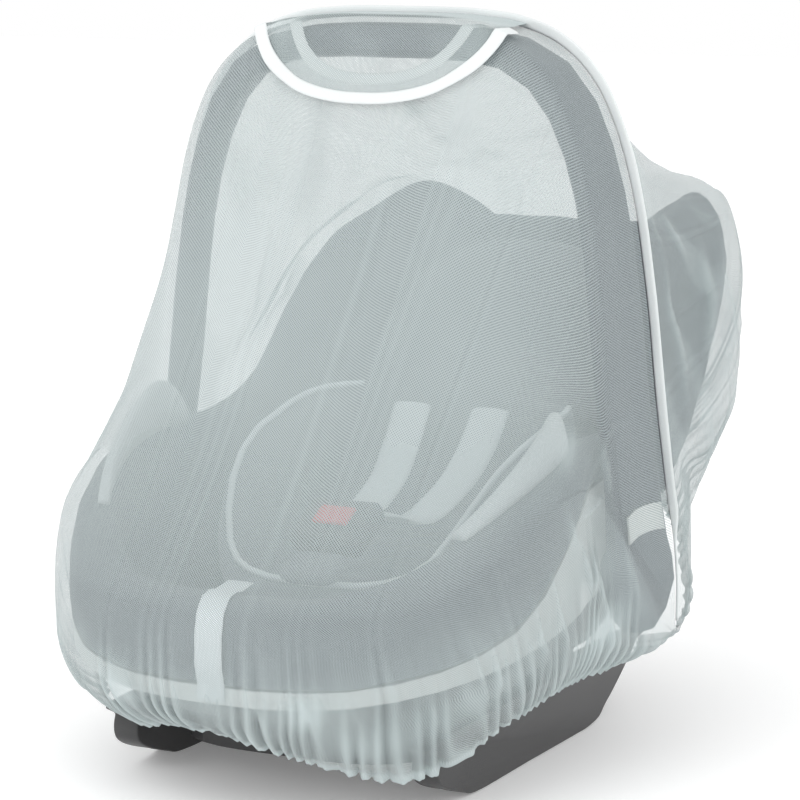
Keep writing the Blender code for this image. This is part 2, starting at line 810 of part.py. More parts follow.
def rim_fractions(front, fractions):
    """Angles of the net's touch line, evenly spaced from the near seam to the far one."""
    start = SEAM_TURN - FRONT_SEAM_GAP if front else SEAM_TURN + REAR_SEAM_GAP
    turn = np.arcsin((start / HEAD_REACH) ** (HEAD_SQUARENESS / 2))
    if front:
        return loop_angles(-turn, np.pi + turn, fractions)
    return loop_angles(-turn, turn - np.pi, fractions)


def hub_cover(along):
    """1 over the handle's pivots, where the net stands off the seat, falling to 0."""
    spread = np.where(along > 0.026, 0.052, 0.076)
    return np.exp(-((along - 0.026) / spread) ** 4)


def net_ring(front, fractions, outset, heights, hub_drop=0.0, hub_bulge=0.0185, taper=0.0):
    """Loop of the net round half the seat, bulged out over the pivots."""
    across, along = outline(rim_fractions(front, fractions), outset, False, taper)
    hub = hub_cover(along)
    across = across + np.sign(across) * hub_bulge * hub
    return np.stack([across, along, heights(along) - hub_drop * hub], axis=1)


def band_low(along):
    """Lower edge of the trim band."""
    return smooth_table(along, STATION, BAND_LOW)


def front_rim_line(fractions):
    """Touch line of the front panel on the rim, sinking to the hem at the pivots."""
    from_end = np.minimum(fractions, 1 - fractions)
    share = 0.90 * smooth_step(from_end / 0.16)
    line = net_ring(True, fractions, RIM_CLEARANCE + 0.002, band_low, 0.0305)
    top = smooth_table(line[:, 1], STATION, RIM_TOP)
    line[:, 2] += share * (top - line[:, 2])
    return line


def rear_rim_line(fractions):
    """Touch line of the rear panel on the head end's rim."""
    from_end = np.minimum(fractions, 1 - fractions)
    share = 1.03 * smooth_step(from_end / 0.12)
    inset = 0.0112 * smooth_step((from_end - 0.080) / 0.150)
    line = net_ring(False, fractions, RIM_CLEARANCE + 0.002 - inset, band_low, 0.0305)
    top = smooth_table(np.minimum(line[:, 1], 0.325), STATION, RIM_TOP)
    top -= corner_drop(line[:, 0], line[:, 1])
    line[:, 2] += share * (top - line[:, 2])
    return line


def span_points(start, end, shares, sag):
    """Points on the slack span between two lines, drawn in towards the seat's middle."""
    middle = np.array([0.0, -0.02, 0.22])
    chord = end - start
    inward = middle - (start + end) / 2
    unit = chord / np.linalg.norm(chord, axis=1)[:, None]
    inward -= unit * (inward * unit).sum(axis=1)[:, None]
    inward /= np.linalg.norm(inward, axis=1)[:, None]
    depth = sag * np.linalg.norm(chord, axis=1)[:, None] / LONGEST_SPAN
    return start + chord * shares + inward * depth * 4 * shares * (1 - shares)


def front_surface(fractions, distance):
    """Front panel by arch fraction and distance down from the seam, as far as the rim."""
    fractions = np.asarray(fractions, dtype=float)
    seam = seam_line(fractions)
    seam[:, 1] -= FRONT_SEAM_GAP
    from_end = np.minimum(fractions, 1 - fractions)
    reach = smooth_step(from_end / 0.09)[:, None]
    edge = seam + (handle_edge(fractions, -1.04, NET_CLEARANCE) - seam) * reach
    rim = front_rim_line(fractions)
    bar = np.linalg.norm(edge - seam, axis=1)
    span = np.linalg.norm(rim - edge, axis=1)
    on_bar = np.clip(distance / np.maximum(bar, 1e-6), 0.0, 1.0)[:, None]
    share = np.clip((distance - bar) / span, 0.0, 1.0)[:, None]
    sag = FREE_SPAN_SAG * smooth_step((from_end - 0.050) / 0.120)[:, None]
    hanging = span_points(edge, rim, share, sag)
    points = np.where(on_bar < 1.0, seam + (edge - seam) * on_bar, hanging)
    return points, bar + span, bar


def opening_drop(fractions):
    """Distance from the seam down to the edge of the hand opening, 0 beside it."""
    across = np.abs(np.asarray(fractions) - 0.5) * arch_length() / OPENING_HALF_WIDTH
    return OPENING_DEPTH * np.clip(1 - across ** 2.6, 0.0, 1.0) ** (1 / 2.6)


def gather_wave(fractions, gathers, seed):
    """Uneven gathers of the elastic: a warped wave with a slow change of depth."""
    rng = np.random.default_rng(seed)
    phase = 2 * np.pi * gathers * fractions
    warp = sum(rng.uniform(0.5, 1.1) * np.sin(2 * np.pi * k * fractions + rng.uniform(0, 6.28))
               for k in (3, 5, 8))
    depth = 0.75 + 0.25 * np.sin(2 * np.pi * 7 * fractions + rng.uniform(0, 6.28))
    return depth * np.sin(phase + warp)


def skirt_rows(front, fractions, rim, hem_table, gathers, seed):
    """Rows of a panel from the rim down over the band to the gathered hem."""
    if front:
        band = net_ring(True, fractions, RIM_CLEARANCE + 0.001, band_low, 0.034)
        tuck = -0.024 - 0.014 * np.exp(-((fractions - 0.62) / 0.10) ** 2)
        hem = net_ring(True, fractions, tuck, band_low, 0.0, 0.020)
    else:
        band = net_ring(False, fractions, RIM_CLEARANCE + 0.001, band_low, 0.034, taper=0.9)
        hem = net_ring(False, fractions, 0.0045, band_low, 0.0, REAR_HUB_BULGE, 1.0)
    hem[:, 2] = smooth_table(fractions, *hem_table.T)
    if not front:
        from_end = np.minimum(fractions, 1 - fractions)
        band[:, 2] = hem[:, 2] + 0.004 + REAR_SKIRT * smooth_step(from_end / 0.10)
    wave = gather_wave(fractions, gathers, seed)
    outward = hem[:, :2] / np.linalg.norm(hem[:, :2], axis=1)[:, None]
    ends = smooth_step(np.minimum(fractions, 1 - fractions) / 0.03)
    bulges = ((0.50, 0.004, 0.004),)
    slack = ends
    behind = 0 * ends
    if not front:
        bulges = REAR_BULGES
        slack = smooth_step((from_end - 0.04) / 0.14)
        behind = smooth_step((from_end - 0.30) / 0.12)
        band[:, :2] += 0.012 * outward * (slack * (1 - 0.6 * behind))[:, None]
    rows = []
    for share, beside, at_back in bulges:
        row = rim + (band - rim) * share
        bulge = (beside + (at_back - beside) * behind) * slack
        row[:, :2] += outward * bulge[:, None]
        rows.append(row)
    rows.append(band)
    for share in (0.34, 0.67, 1.0):
        row = band + (hem - band) * share
        depth = GATHER_DEPTH * share * ends * wave
        row[:, :2] += outward * (depth + 0.006 * np.sin(np.pi * share) * ends)[:, None]
        row[:, 2] -= 0.0025 * share * ends * (1 + wave)
        rows.append(row)
    return rows


def add_front_panel(collection):
    """Front panel: from the seam down over the foot end, with the hand opening cut out."""
    fractions = np.linspace(0.0, 1.0, FRONT_COLUMNS + 1)
    start = opening_drop(fractions)
    _, length, bar = front_surface(fractions, start)
    from_end = np.minimum(fractions, 1 - fractions)
    rows = [front_surface(fractions, start)[0]]
    turn = np.maximum(bar, start + 0.010 * smooth_step(from_end / 0.09))
    rows.append(front_surface(fractions, turn)[0])
    for share in np.linspace(0.0, 1.0, SPAN_ROWS + 1)[1:]:
        rows.append(front_surface(fractions, turn + (length - turn) * share)[0])
    rows += skirt_rows(True, fractions, rows[-1], FRONT_HEM, GATHERS, 3)
    add_sheet(collection, "net_front_panel", np.stack(rows), "net", NET_THICKNESS)


def add_rear_panel(collection):
    """Rear panel: from the seam back over the head end and down to the hem."""
    fractions = np.linspace(0.0, 1.0, REAR_COLUMNS + 1)
    seam = seam_line(fractions)
    seam[:, 1] += REAR_SEAM_GAP
    rim = rear_rim_line(fractions)
    folds = 0.0025 * np.sin(2 * np.pi * 11 * fractions + 1.5 * np.sin(2 * np.pi * fractions))
    from_end = np.minimum(fractions, 1 - fractions)
    ends = smooth_step(from_end / 0.05)
    corner = smooth_step((from_end - 0.08) / 0.10) * (1 - smooth_step((from_end - 0.30) / 0.12))
    sag = FREE_SPAN_SAG * (0.5 + CORNER_SLACK * corner)
    rows = []
    for share in np.linspace(0.0, 1.0, SPAN_ROWS):
        row = span_points(seam, rim, np.full((len(fractions), 1), share), sag[:, None])
        row[:, 2] += folds * ends * np.sin(np.pi * share)
        rows.append(row)
    rows += skirt_rows(False, fractions, rim, REAR_HEM, 20, 5)
    add_sheet(collection, "net_rear_panel", np.stack(rows), "net", NET_THICKNESS)


def front_normal(fractions, distance):
    """Upward unit normal of the front panel."""
    step = 0.003
    centre = front_surface(fractions, distance)[0]
    down = front_surface(fractions, distance + step)[0] - centre
    side = front_surface(fractions + step, distance)[0] - centre
    normal = np.cross(down, side)
    normal /= np.linalg.norm(normal, axis=1)[:, None]
    return normal * np.sign(normal[:, 2])[:, None]


def lifted(fractions, distance, lift):
    """Point on the front panel moved outwards, mitred where the panel turns off the bar."""
    above = front_normal(fractions, np.maximum(distance - 0.007, 0.0))
    below = front_normal(fractions, distance + 0.004)
    mean = (above + below) / 2
    mitre = mean / (mean ** 2).sum(axis=1)[:, None]
    return front_surface(fractions, distance)[0] + mitre * lift


def flap_edge(turns):
    """Free edge of the flap: across the bar and down from the seam, over half a turn."""
    across = FLAP_HALF_WIDTH * np.sign(np.cos(turns)) * np.abs(np.cos(turns)) ** (2 / 2.6)
    down = FLAP_DEPTH * np.sin(turns) ** (2 / 2.6)
    return np.stack([across, down], axis=1)


def opening_edge(turns):
    """Edge of the hand opening, in the same terms as the flap's edge."""
    across = OPENING_HALF_WIDTH * np.sign(np.cos(turns)) * np.abs(np.cos(turns)) ** (2 / 2.6)
    down = OPENING_DEPTH * np.sin(turns) ** (2 / 2.6)
    return np.stack([across, down], axis=1)


def edge_strip(edge, near, far):
    """Strip beside an edge in the flat: rows at two distances along its normal."""
    tangent = np.gradient(edge, axis=0)
    tangent /= np.linalg.norm(tangent, axis=1)[:, None]
    normal = np.stack([-tangent[:, 1], tangent[:, 0]], axis=1)
    normal *= np.sign(normal[:, 1].sum())
    return [edge + normal * width for width in np.linspace(near, far, 3)]


def on_front(flat, lift):
    """Lay flat (across, down) points on the front panel, lifted off it."""
    fractions = 0.5 - flat[:, 0] / arch_length()
    return lifted(fractions, np.maximum(flat[:, 1], 0.0), lift)


def add_flap(collection):
    """Half-moon flap that hangs from the seam over the hand opening."""
    turns = np.linspace(np.radians(10), np.pi - np.radians(10), 27)
    edge = flap_edge(turns)
    bar = front_surface(0.5 - edge[:, 0] / arch_length(), 0.0)[2]
    turn = np.minimum(bar, 0.8 * edge[:, 1])
    rows = []
    for share in (0.0, 0.5, 1.0):
        rows.append(on_front(np.column_stack([edge[:, 0], turn * share]), FLAP_LIFT))
    for share in (0.33, 0.66, 1.0):
        down = turn + (edge[:, 1] - turn) * share
        rows.append(on_front(np.column_stack([edge[:, 0], down]), FLAP_LIFT))
    add_sheet(collection, "net_flap", np.stack(rows), "net", NET_THICKNESS)


def add_bindings(collection):
    """Bound edges of the flap and of the hand opening."""
    turns = np.linspace(np.radians(8), np.pi - np.radians(8), 45)
    gap = 0.0012
    strip = edge_strip(flap_edge(turns), gap, BINDING_WIDTH)
    rows = [on_front(row, BINDING_LIFT) for row in strip]
    add_sheet(collection, "flap_binding", np.stack(rows), "tape", BINDING_THICKNESS)
    turns = np.linspace(np.radians(12), np.pi - np.radians(12), 37)
    strip = edge_strip(opening_edge(turns), -gap, -BINDING_WIDTH)
    rows = [on_front(row, 0.0) for row in strip]
    add_sheet(collection, "opening_binding", np.stack(rows), "tape", NET_THICKNESS)


def add_seam_tape(collection):
    """Bound seam over the handle: a fin that stands off the handle's rear edge."""
    fractions = np.linspace(0.004, 0.996, 61)
    rows = []
    for height in (0.0, SEAM_FIN_HEIGHT / 2, SEAM_FIN_HEIGHT):
        rows.append(seam_line(fractions, height))
    add_sheet(collection, "seam_tape", np.stack(rows), "tape", SEAM_FIN_THICKNESS)


def build():
    """Model the whole part."""
    for old in list(bpy.data.objects):
        bpy.data.objects.remove(old, do_unlink=True)
    collection = make_collection("mosquito_net_on_car_seat")
    add_shell(collection)
    add_band(collection)
    add_cover(collection)
    add_insert(collection)
    add_inlay_piping(collection)
    add_head_pad(collection)
    add_harness(collection)
    add_adjuster_strap(collection)
    add_side_wings(collection)
    add_base(collection)
    add_handle(collection)
    add_buttons(collection)
    add_pivots(collection)
    add_front_panel(collection)
    add_rear_panel(collection)
    add_flap(collection)
    add_bindings(collection)
    add_seam_tape(collection)
    for part in collection.objects:
        part.location.y -= BOX_MIDDLE


build()
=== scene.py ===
"""Looks of the mosquito net over an infant car seat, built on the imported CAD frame.

Sizes are in metres: +Z up, +X towards the near side, -Y towards the foot end of the seat. Forms
are worked out from the handle's pivots, as in the CAD, and moved into the frame by AXIS_SHIFT.
"""

import logging
import math
from dataclasses import dataclass
from enum import Enum
from typing import Callable, ClassVar, Iterable, Optional, Sequence

import bmesh
import bpy
import numpy as np
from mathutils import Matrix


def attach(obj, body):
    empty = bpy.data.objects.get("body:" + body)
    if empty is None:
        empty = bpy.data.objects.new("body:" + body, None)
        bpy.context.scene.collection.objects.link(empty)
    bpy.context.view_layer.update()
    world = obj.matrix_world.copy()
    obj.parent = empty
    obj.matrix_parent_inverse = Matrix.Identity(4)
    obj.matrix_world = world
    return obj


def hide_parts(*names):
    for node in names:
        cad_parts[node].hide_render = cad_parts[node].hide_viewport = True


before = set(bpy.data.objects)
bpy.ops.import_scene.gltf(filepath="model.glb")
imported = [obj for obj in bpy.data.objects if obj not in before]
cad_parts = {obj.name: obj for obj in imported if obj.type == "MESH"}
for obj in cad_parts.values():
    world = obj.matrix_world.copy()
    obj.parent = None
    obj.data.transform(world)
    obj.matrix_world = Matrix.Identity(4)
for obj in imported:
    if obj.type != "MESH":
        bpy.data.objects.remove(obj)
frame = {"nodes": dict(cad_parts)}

LOG = logging.getLogger("net_scene")
Array = np.ndarray
Heights = Callable[[Array], Array]

AXIS_SHIFT = 0.0274
CLOTH_UV = "cloth"
COVER_ATTRIBUTE = "cover"
SEAT_CORE = np.array([0.0, 0.0, 0.2])
CAMERA_SENSOR = 36.0

SIDE_STATIONS = np.array([
    # station, band lower edge, band upper edge, rim top, inside floor
    (-0.310, 0.086, 0.100, 0.164, 0.140),
    (-0.263, 0.097, 0.111, 0.172, 0.138),
    (-0.200, 0.109, 0.128, 0.206, 0.128),
    (-0.160, 0.117, 0.144, 0.224, 0.124),
    (-0.110, 0.126, 0.184, 0.240, 0.116),
    (-0.060, 0.129, 0.212, 0.248, 0.112),
    (0.000, 0.132, 0.220, 0.252, 0.112),
    (0.060, 0.138, 0.210, 0.256, 0.124),
    (0.120, 0.148, 0.190, 0.270, 0.166),
    (0.205, 0.176, 0.198, 0.350, 0.262),
    (0.270, 0.196, 0.213, 0.400, 0.340),
    (0.320, 0.206, 0.221, 0.416, 0.350),
    (0.345, 0.210, 0.225, 0.402, 0.344),
    (0.356, 0.212, 0.227, 0.378, 0.338),
    (0.366, 0.213, 0.228, 0.346, 0.336),
])
STATION, BAND_LOW, BAND_HIGH, RIM_TOP, FLOOR = SIDE_STATIONS.T

HANDLE_ARCH = np.array([
    # across, height: centre line of the near half, from the foot to the middle of the bar
    (0.2110, 0.104),
    (0.2110, 0.138),
    (0.2055, 0.205),
    (0.1950, 0.290),
    (0.1865, 0.370),
    (0.1775, 0.430),
    (0.1680, 0.467),
    (0.1580, 0.493),
    (0.1460, 0.515),
    (0.1320, 0.531),
    (0.1140, 0.5435),
    (0.0900, 0.5515),
    (0.0600, 0.5550),
    (0.0000, 0.5560),
])

HANDLE_SECTIONS = np.array([
    # fraction of the arch, width, thickness
    (0.000, 0.030, 0.016),
    (0.012, 0.062, 0.020),
    (0.032, 0.084, 0.022),
    (0.058, 0.070, 0.020),
    (0.085, 0.064, 0.018),
    (0.200, 0.060, 0.017),
    (0.290, 0.056, 0.017),
    (0.380, 0.054, 0.022),
    (0.440, 0.052, 0.026),
    (0.500, 0.052, 0.027),
])

FRONT_HEM = np.array([
    # fraction of the way from the near pivot round to the far one, height
    (0.000, 0.094),
    (0.060, 0.084),
    (0.150, 0.075),
    (0.230, 0.060),
    (0.280, 0.042),
    (0.330, 0.034),
    (0.380, 0.042),
    (0.460, 0.057),
    (0.550, 0.064),
    (0.620, 0.055),
    (0.690, 0.058),
    (0.780, 0.070),
    (0.930, 0.084),
    (1.000, 0.094),
])

REAR_HEM = np.array([
    # fraction, height
    (0.000, 0.094),
    (0.050, 0.128),
    (0.120, 0.160),
    (0.200, 0.184),
    (0.300, 0.198),
    (0.500, 0.206),
    (0.700, 0.198),
    (0.800, 0.184),
    (0.880, 0.160),
    (0.950, 0.128),
    (1.000, 0.094),
])

REAR_BULGES = (
    # share of the way to the band, bulge beside the corners, bulge behind the head end
    (0.20, 0.022, 0.0150),
    (0.50, 0.034, 0.0262),
    (0.78, 0.022, 0.0220),
)

INSERT_RIM = np.array([
    # along the seat, height of the inlay's top edge
    (-0.155, 0.145),
    (-0.130, 0.158),
    (-0.100, 0.190),
    (-0.070, 0.216),
    (-0.020, 0.238),
    (0.040, 0.250),
    (0.090, 0.256),
    (0.132, 0.258),
])

RAIL_CORNERS = np.array([
    # along the seat, height
    (-0.205, 0.022),
    (-0.165, 0.006),
    (-0.125, 0.000),
    (0.062, 0.000),
    (0.108, 0.014),
    (0.165, 0.050),
    (0.150, 0.056),
    (-0.190, 0.056),
    (-0.208, 0.042),
])

WING_RISE = np.array([
    # along the seat, rise of the light edge above the rim
    (-0.200, 0.006),
    (-0.160, 0.016),
    (-0.110, 0.030),
    (-0.075, 0.040),
    (-0.052, 0.036),
])


# Curves and noise


def smooth_table(x: Array, xs: Array, ys: Array) -> Array:
    """Cubic Hermite curve through a short table, flat past its ends.

    Args:
        x: Places to read.
        xs: Rising places of the table's knots.
        ys: Values at the knots.

    Returns:
        The value at each place.
    """
    x = np.clip(np.asarray(x, dtype=float), xs[0], xs[-1])
    slopes = np.gradient(ys, xs)
    left = np.clip(np.searchsorted(xs, x) - 1, 0, len(xs) - 2)
    span = xs[left + 1] - xs[left]
    s = (x - xs[left]) / span
    rise = ys[left] * (1 + 2 * s) * (1 - s) ** 2 + ys[left + 1] * s ** 2 * (3 - 2 * s)
    return rise + span * (slopes[left] * s * (1 - s) ** 2 - slopes[left + 1] * s ** 2 * (1 - s))


def smooth_rows(rows: Array, at: Array, wanted: Array) -> Array:
    """Rows of points read between key rows along a cubic Hermite curve.

    Args:
        rows: Key rows, shaped (rows, columns, 3).
        at: Rising place of each key row.
        wanted: Places to read.

    Returns:
        Rows at the wanted places, shaped (wanted, columns, 3).
    """
    slopes = np.gradient(rows, at, axis=0)
    left = np.clip(np.searchsorted(at, wanted) - 1, 0, len(at) - 2)
    span = (at[left + 1] - at[left])[:, None, None]
    s = ((wanted - at[left]) / (at[left + 1] - at[left]))[:, None, None]
    rise = rows[left] * (1 + 2 * s) * (1 - s) ** 2 + rows[left + 1] * s ** 2 * (3 - 2 * s)
    lean = slopes[left] * s * (1 - s) ** 2 - slopes[left + 1] * s ** 2 * (1 - s)
    return rise + span * lean


def smooth_step(x: Array) -> Array:
    """0 to 1 with level ends."""
    s = np.clip(x, 0.0, 1.0)
    return s * s * (3.0 - 2.0 * s)


def resample(points: Array, fractions: Array) -> Array:
    """Points at fractions of a polyline's length.

    Args:
        points: Corners of the polyline, shaped (corners, axes).
        fractions: Wanted places, 0 to 1.

    Returns:
        One point for each fraction.
    """
    steps = np.linalg.norm(np.diff(points, axis=0), axis=1)
    length = np.concatenate([[0.0], np.cumsum(steps)])
    wanted = np.asarray(fractions) * length[-1]
    return np.stack([np.interp(wanted, length, column) for column in points.T], axis=1)


def unit(vectors: Array) -> Array:
    """Vectors scaled to length one along the last axis."""
    length = np.linalg.norm(vectors, axis=-1, keepdims=True)
    return vectors / np.maximum(length, 1e-9)


def soft_noise(points: Array, size: float, seed: int, waves: int = 9) -> Array:
    """Smooth unevenness: a sum of plane waves in seeded directions.

    Args:
        points: Places, with coordinates along the last axis.
        size: Rough size of one rise, in metres.
        seed: Seed of the directions and phases.
        waves: Number of waves.

    Returns:
        Values of about -1 to 1.
    """
    rng = np.random.default_rng(seed)
    directions = unit(rng.normal(size=(waves, points.shape[-1])))
    lengths = size * rng.uniform(1.4, 3.2, waves)
    phases = rng.uniform(0.0, 2 * np.pi, waves)
    angles = points @ (directions / lengths[:, None]).T * 2 * np.pi + phases
    return np.sin(angles).sum(axis=-1) / math.sqrt(waves)


# Forms shared with the CAD


@dataclass(frozen=True)
class SeatForm:
    """Form of the seat, by distance behind the pivots.

    Attributes:
        half_width: Half the width of the rim.
        foot_reach: Distance from the pivots to the foot end.
        head_reach: Distance from the pivots to the head end.
        foot_squareness: Power of the outline towards the foot end.
        head_squareness: Power of the outline towards the head end.
        waist_depth: Share by which the outline is drawn in at the pivots.
        waist_spread: Reach of that waist along the seat.
        head_taper: How much narrower the inside is at the head end.
        taper_onset: How soon the outline narrows behind the pivots.
        inner_onset: The same for the loops inside the seat.
        dip_depth: Dip of the rim in the middle of the head end.
        corner_depth: Drop of the rim at the corners of the head end.
    """

    half_width: float = 0.208
    foot_reach: float = 0.300
    head_reach: float = 0.362
    foot_squareness: float = 2.75
    head_squareness: float = 3.4
    waist_depth: float = 0.13
    waist_spread: float = 0.080
    head_taper: float = 0.058
    taper_onset: float = 2.4
    inner_onset: float = 1.3
    dip_depth: float = 0.042
    corner_depth: float = 0.012

    def outline(self, angles: Array, outset: float = 0.0, waist: bool = True,
                taper: float = 0.0, inner: bool = False) -> tuple[Array, Array]:
        """Plan outline: a superellipse, squarer at the head end, with a waist at the pivots.

        Args:
            angles: Places round the outline, a quarter turn at the foot tip.
            outset: Distance outside the rim's outline; inside it where negative.
            waist: False leaves the waist out.
            taper: Share of the head end's narrowing.
            inner: True for the loops inside the seat.

        Returns:
            Places across and along the seat.
        """
        cosine = np.cos(angles)
        sine = np.sin(angles)
        onset = self.inner_onset if inner else self.taper_onset
        outset = outset - taper * self.head_taper * smooth_step(-onset * sine)
        squareness = np.where(sine > 0, self.foot_squareness, self.head_squareness)
        reach = np.where(sine > 0, self.foot_reach, self.head_reach) + outset
        across = ((self.half_width + outset) * np.sign(cosine)
                  * np.abs(cosine) ** (2 / squareness))
        along = -np.sign(sine) * reach * np.abs(sine) ** (2 / squareness)
        if waist:
            across = across * (1 - self.waist_depth * np.exp(-(along / self.waist_spread) ** 2))
        return across, along

    def loop_angles(self, start: float, stop: float, fractions: Array) -> Array:
        """Angles that space points evenly along the outline.

        Args:
            start: First angle.
            stop: Last angle.
            fractions: Wanted places between them, 0 to 1 by length.

        Returns:
            One angle for each fraction.
        """
        fine = np.linspace(start, stop, 2400)
        across, along = self.outline(fine, waist=False)
        steps = np.hypot(np.diff(across), np.diff(along))
        length = np.concatenate([[0.0], np.cumsum(steps)])
        return np.interp(np.asarray(fractions) * length[-1], length, fine)

    def loop(self, count: int) -> Array:
        """Angles of a whole loop, from the foot tip round the near side."""
        half = self.loop_angles(np.pi / 2, -np.pi / 2, np.linspace(0.0, 1.0, count // 2 + 1))
        return np.concatenate([half, np.pi - half[-2:0:-1]])

    def rim_top(self, along: Array) -> Array:
        """Height of the rim's top."""
        return smooth_table(along, STATION, RIM_TOP)

    def band_low(self, along: Array) -> Array:
        """Lower edge of the trim band."""
        return smooth_table(along, STATION, BAND_LOW)

    def floor(self, along: Array) -> Array:
        """Height of the padded floor inside the seat."""
        return smooth_table(along, STATION, FLOOR)

    def underside(self, along: Array) -> Array:
        """Bottom of the padded cover inside the shell, rising towards the head end."""
        return 0.080 + 0.32 * np.maximum(along - 0.070, 0.0)

    def level(self, share: float, drop: float = 0.0) -> Heights:
        """Height between the band's upper edge and the rim's top.

        Args:
            share: 0 at the band's upper edge, 1 at the rim's top.
            drop: Distance by which the height is lowered.

        Returns:
            A function that reads the height along the seat.
        """
        def heights(along: Array) -> Array:
            """Height at each place along the seat."""
            low = smooth_table(along, STATION, BAND_HIGH)
            return low + share * (self.rim_top(along) - low) - drop
        return heights

    def head_dip(self, across: Array, along: Array) -> Array:
        """Depth of the dip in the rim in the middle of the head end."""
        inside = 1 - smooth_step((np.abs(across) - 0.025) / 0.110)
        return self.dip_depth * inside * smooth_step((along - 0.240) / 0.080)

    def corner_drop(self, across: Array, along: Array) -> Array:
        """Depth by which the rim rounds down at the corners of the head end."""
        return (self.corner_depth * smooth_step((np.abs(across) - 0.115) / 0.060)
                * smooth_step((along - 0.220) / 0.070))

    def ring(self, count: int, inset: float, heights: Heights, taper: float = 0.0,
             inner: bool = False) -> Array:
        """Loop of points inside the outline at a height for each station.

        Args:
            count: Number of points.
            inset: Distance inside the outline.
            heights: Reads the height along the seat.
            taper: Share of the head end's narrowing.
            inner: True for the loops inside the seat.

        Returns:
            Points shaped (count, 3).
        """
        across, along = self.outline(self.loop(count), -inset, True, taper, inner)
        return np.stack([across, along, heights(along)], axis=1)

    def joint_ring(self, count: int, inset: float, heights: Heights) -> Array:
        """Loop like ring, with heights read at the outline."""
        turn = self.loop(count)
        across, along = self.outline(turn, -inset, True, 1.0)
        return np.stack([across, along, heights(self.outline(turn)[1])], axis=1)

    def rim_ring(self, count: int, inset: float, heights: Heights, taper: float = 0.0) -> Array:
        """Loop on the rim, dipped in the middle of the head end."""
        points = self.ring(count, inset, heights, taper)
        points[:, 2] -= self.head_dip(points[:, 0], points[:, 1])
        points[:, 2] -= self.corner_drop(points[:, 0], points[:, 1])
        return points


@dataclass(frozen=True)
class HandleForm:
    """Form of the carrying handle.

    Attributes:
        toe: Turn of the handle's flat section, in radians.
    """

    toe: float = math.radians(13.0)

    def arch(self, fractions: Array) -> tuple[Array, Array]:
        """Centre line and its outward normal, from the near foot over to the far one.

        Args:
            fractions: Places along the arch, 0 to 1.

        Returns:
            Points and unit normals, each shaped (places, 3).
        """
        far_half = HANDLE_ARCH[-2::-1] * (-1.0, 1.0)
        knots = np.vstack([HANDLE_ARCH, far_half])
        steps = np.linalg.norm(np.diff(knots, axis=0), axis=1)
        along = np.concatenate([[0.0], np.cumsum(steps)])
        fine = np.linspace(0.0, along[-1], 400)
        curve = np.stack([smooth_table(fine, along, column) for column in knots.T], axis=1)
        flat = resample(curve, fractions)
        ahead = resample(curve, np.clip(np.asarray(fractions) + 0.004, 0.0, 1.0))
        behind = resample(curve, np.clip(np.asarray(fractions) - 0.004, 0.0, 1.0))
        tangent = unit(ahead - behind)
        level = np.zeros(len(flat))
        centre = np.stack([flat[:, 0], level, flat[:, 1]], axis=1)
        return centre, np.stack([tangent[:, 1], level, -tangent[:, 0]], axis=1)

    def length(self) -> float:
        """Length of the centre line."""
        centre, _ = self.arch(np.linspace(0.0, 1.0, 200))
        return float(np.linalg.norm(np.diff(centre, axis=0), axis=1).sum())

    def axes(self, fractions: Array) -> tuple[Array, Array, Array]:
        """Axes of the handle's flat section, which toes in towards its feet.

        Args:
            fractions: Places along the arch, 0 to 1.

        Returns:
            Centre, direction through the thickness and direction along the width.
        """
        centre, outward = self.arch(fractions)
        toe = self.toe * np.clip(np.abs(outward[:, 0]), 0.0, 1.0)
        backward = np.zeros_like(outward)
        backward[:, 1] = 1.0
        through = outward * np.cos(toe)[:, None] - backward * np.sin(toe)[:, None]
        along = outward * np.sin(toe)[:, None] + backward * np.cos(toe)[:, None]
        return centre, through, along

    def section(self, fractions: Array) -> tuple[Array, Array]:
        """Width and thickness at fractions of the arch."""
        from_foot = np.minimum(fractions, 1.0 - np.asarray(fractions))
        station, width, thickness = HANDLE_SECTIONS.T
        return (smooth_table(from_foot, station, width),
                smooth_table(from_foot, station, thickness))

    def edge(self, fractions: Array, side: float, lift: float) -> Array:
        """Line along the outer face.

        Args:
            fractions: Places along the arch, 0 to 1.
            side: -1 on the front edge, +1 on the rear edge.
            lift: Distance off the face.

        Returns:
            Points shaped (places, 3).
        """
        centre, through, along = self.axes(fractions)
        width, thickness = self.section(fractions)
        return (centre + through * (thickness / 2 + lift)[:, None]
                + along * (side * width / 2)[:, None])


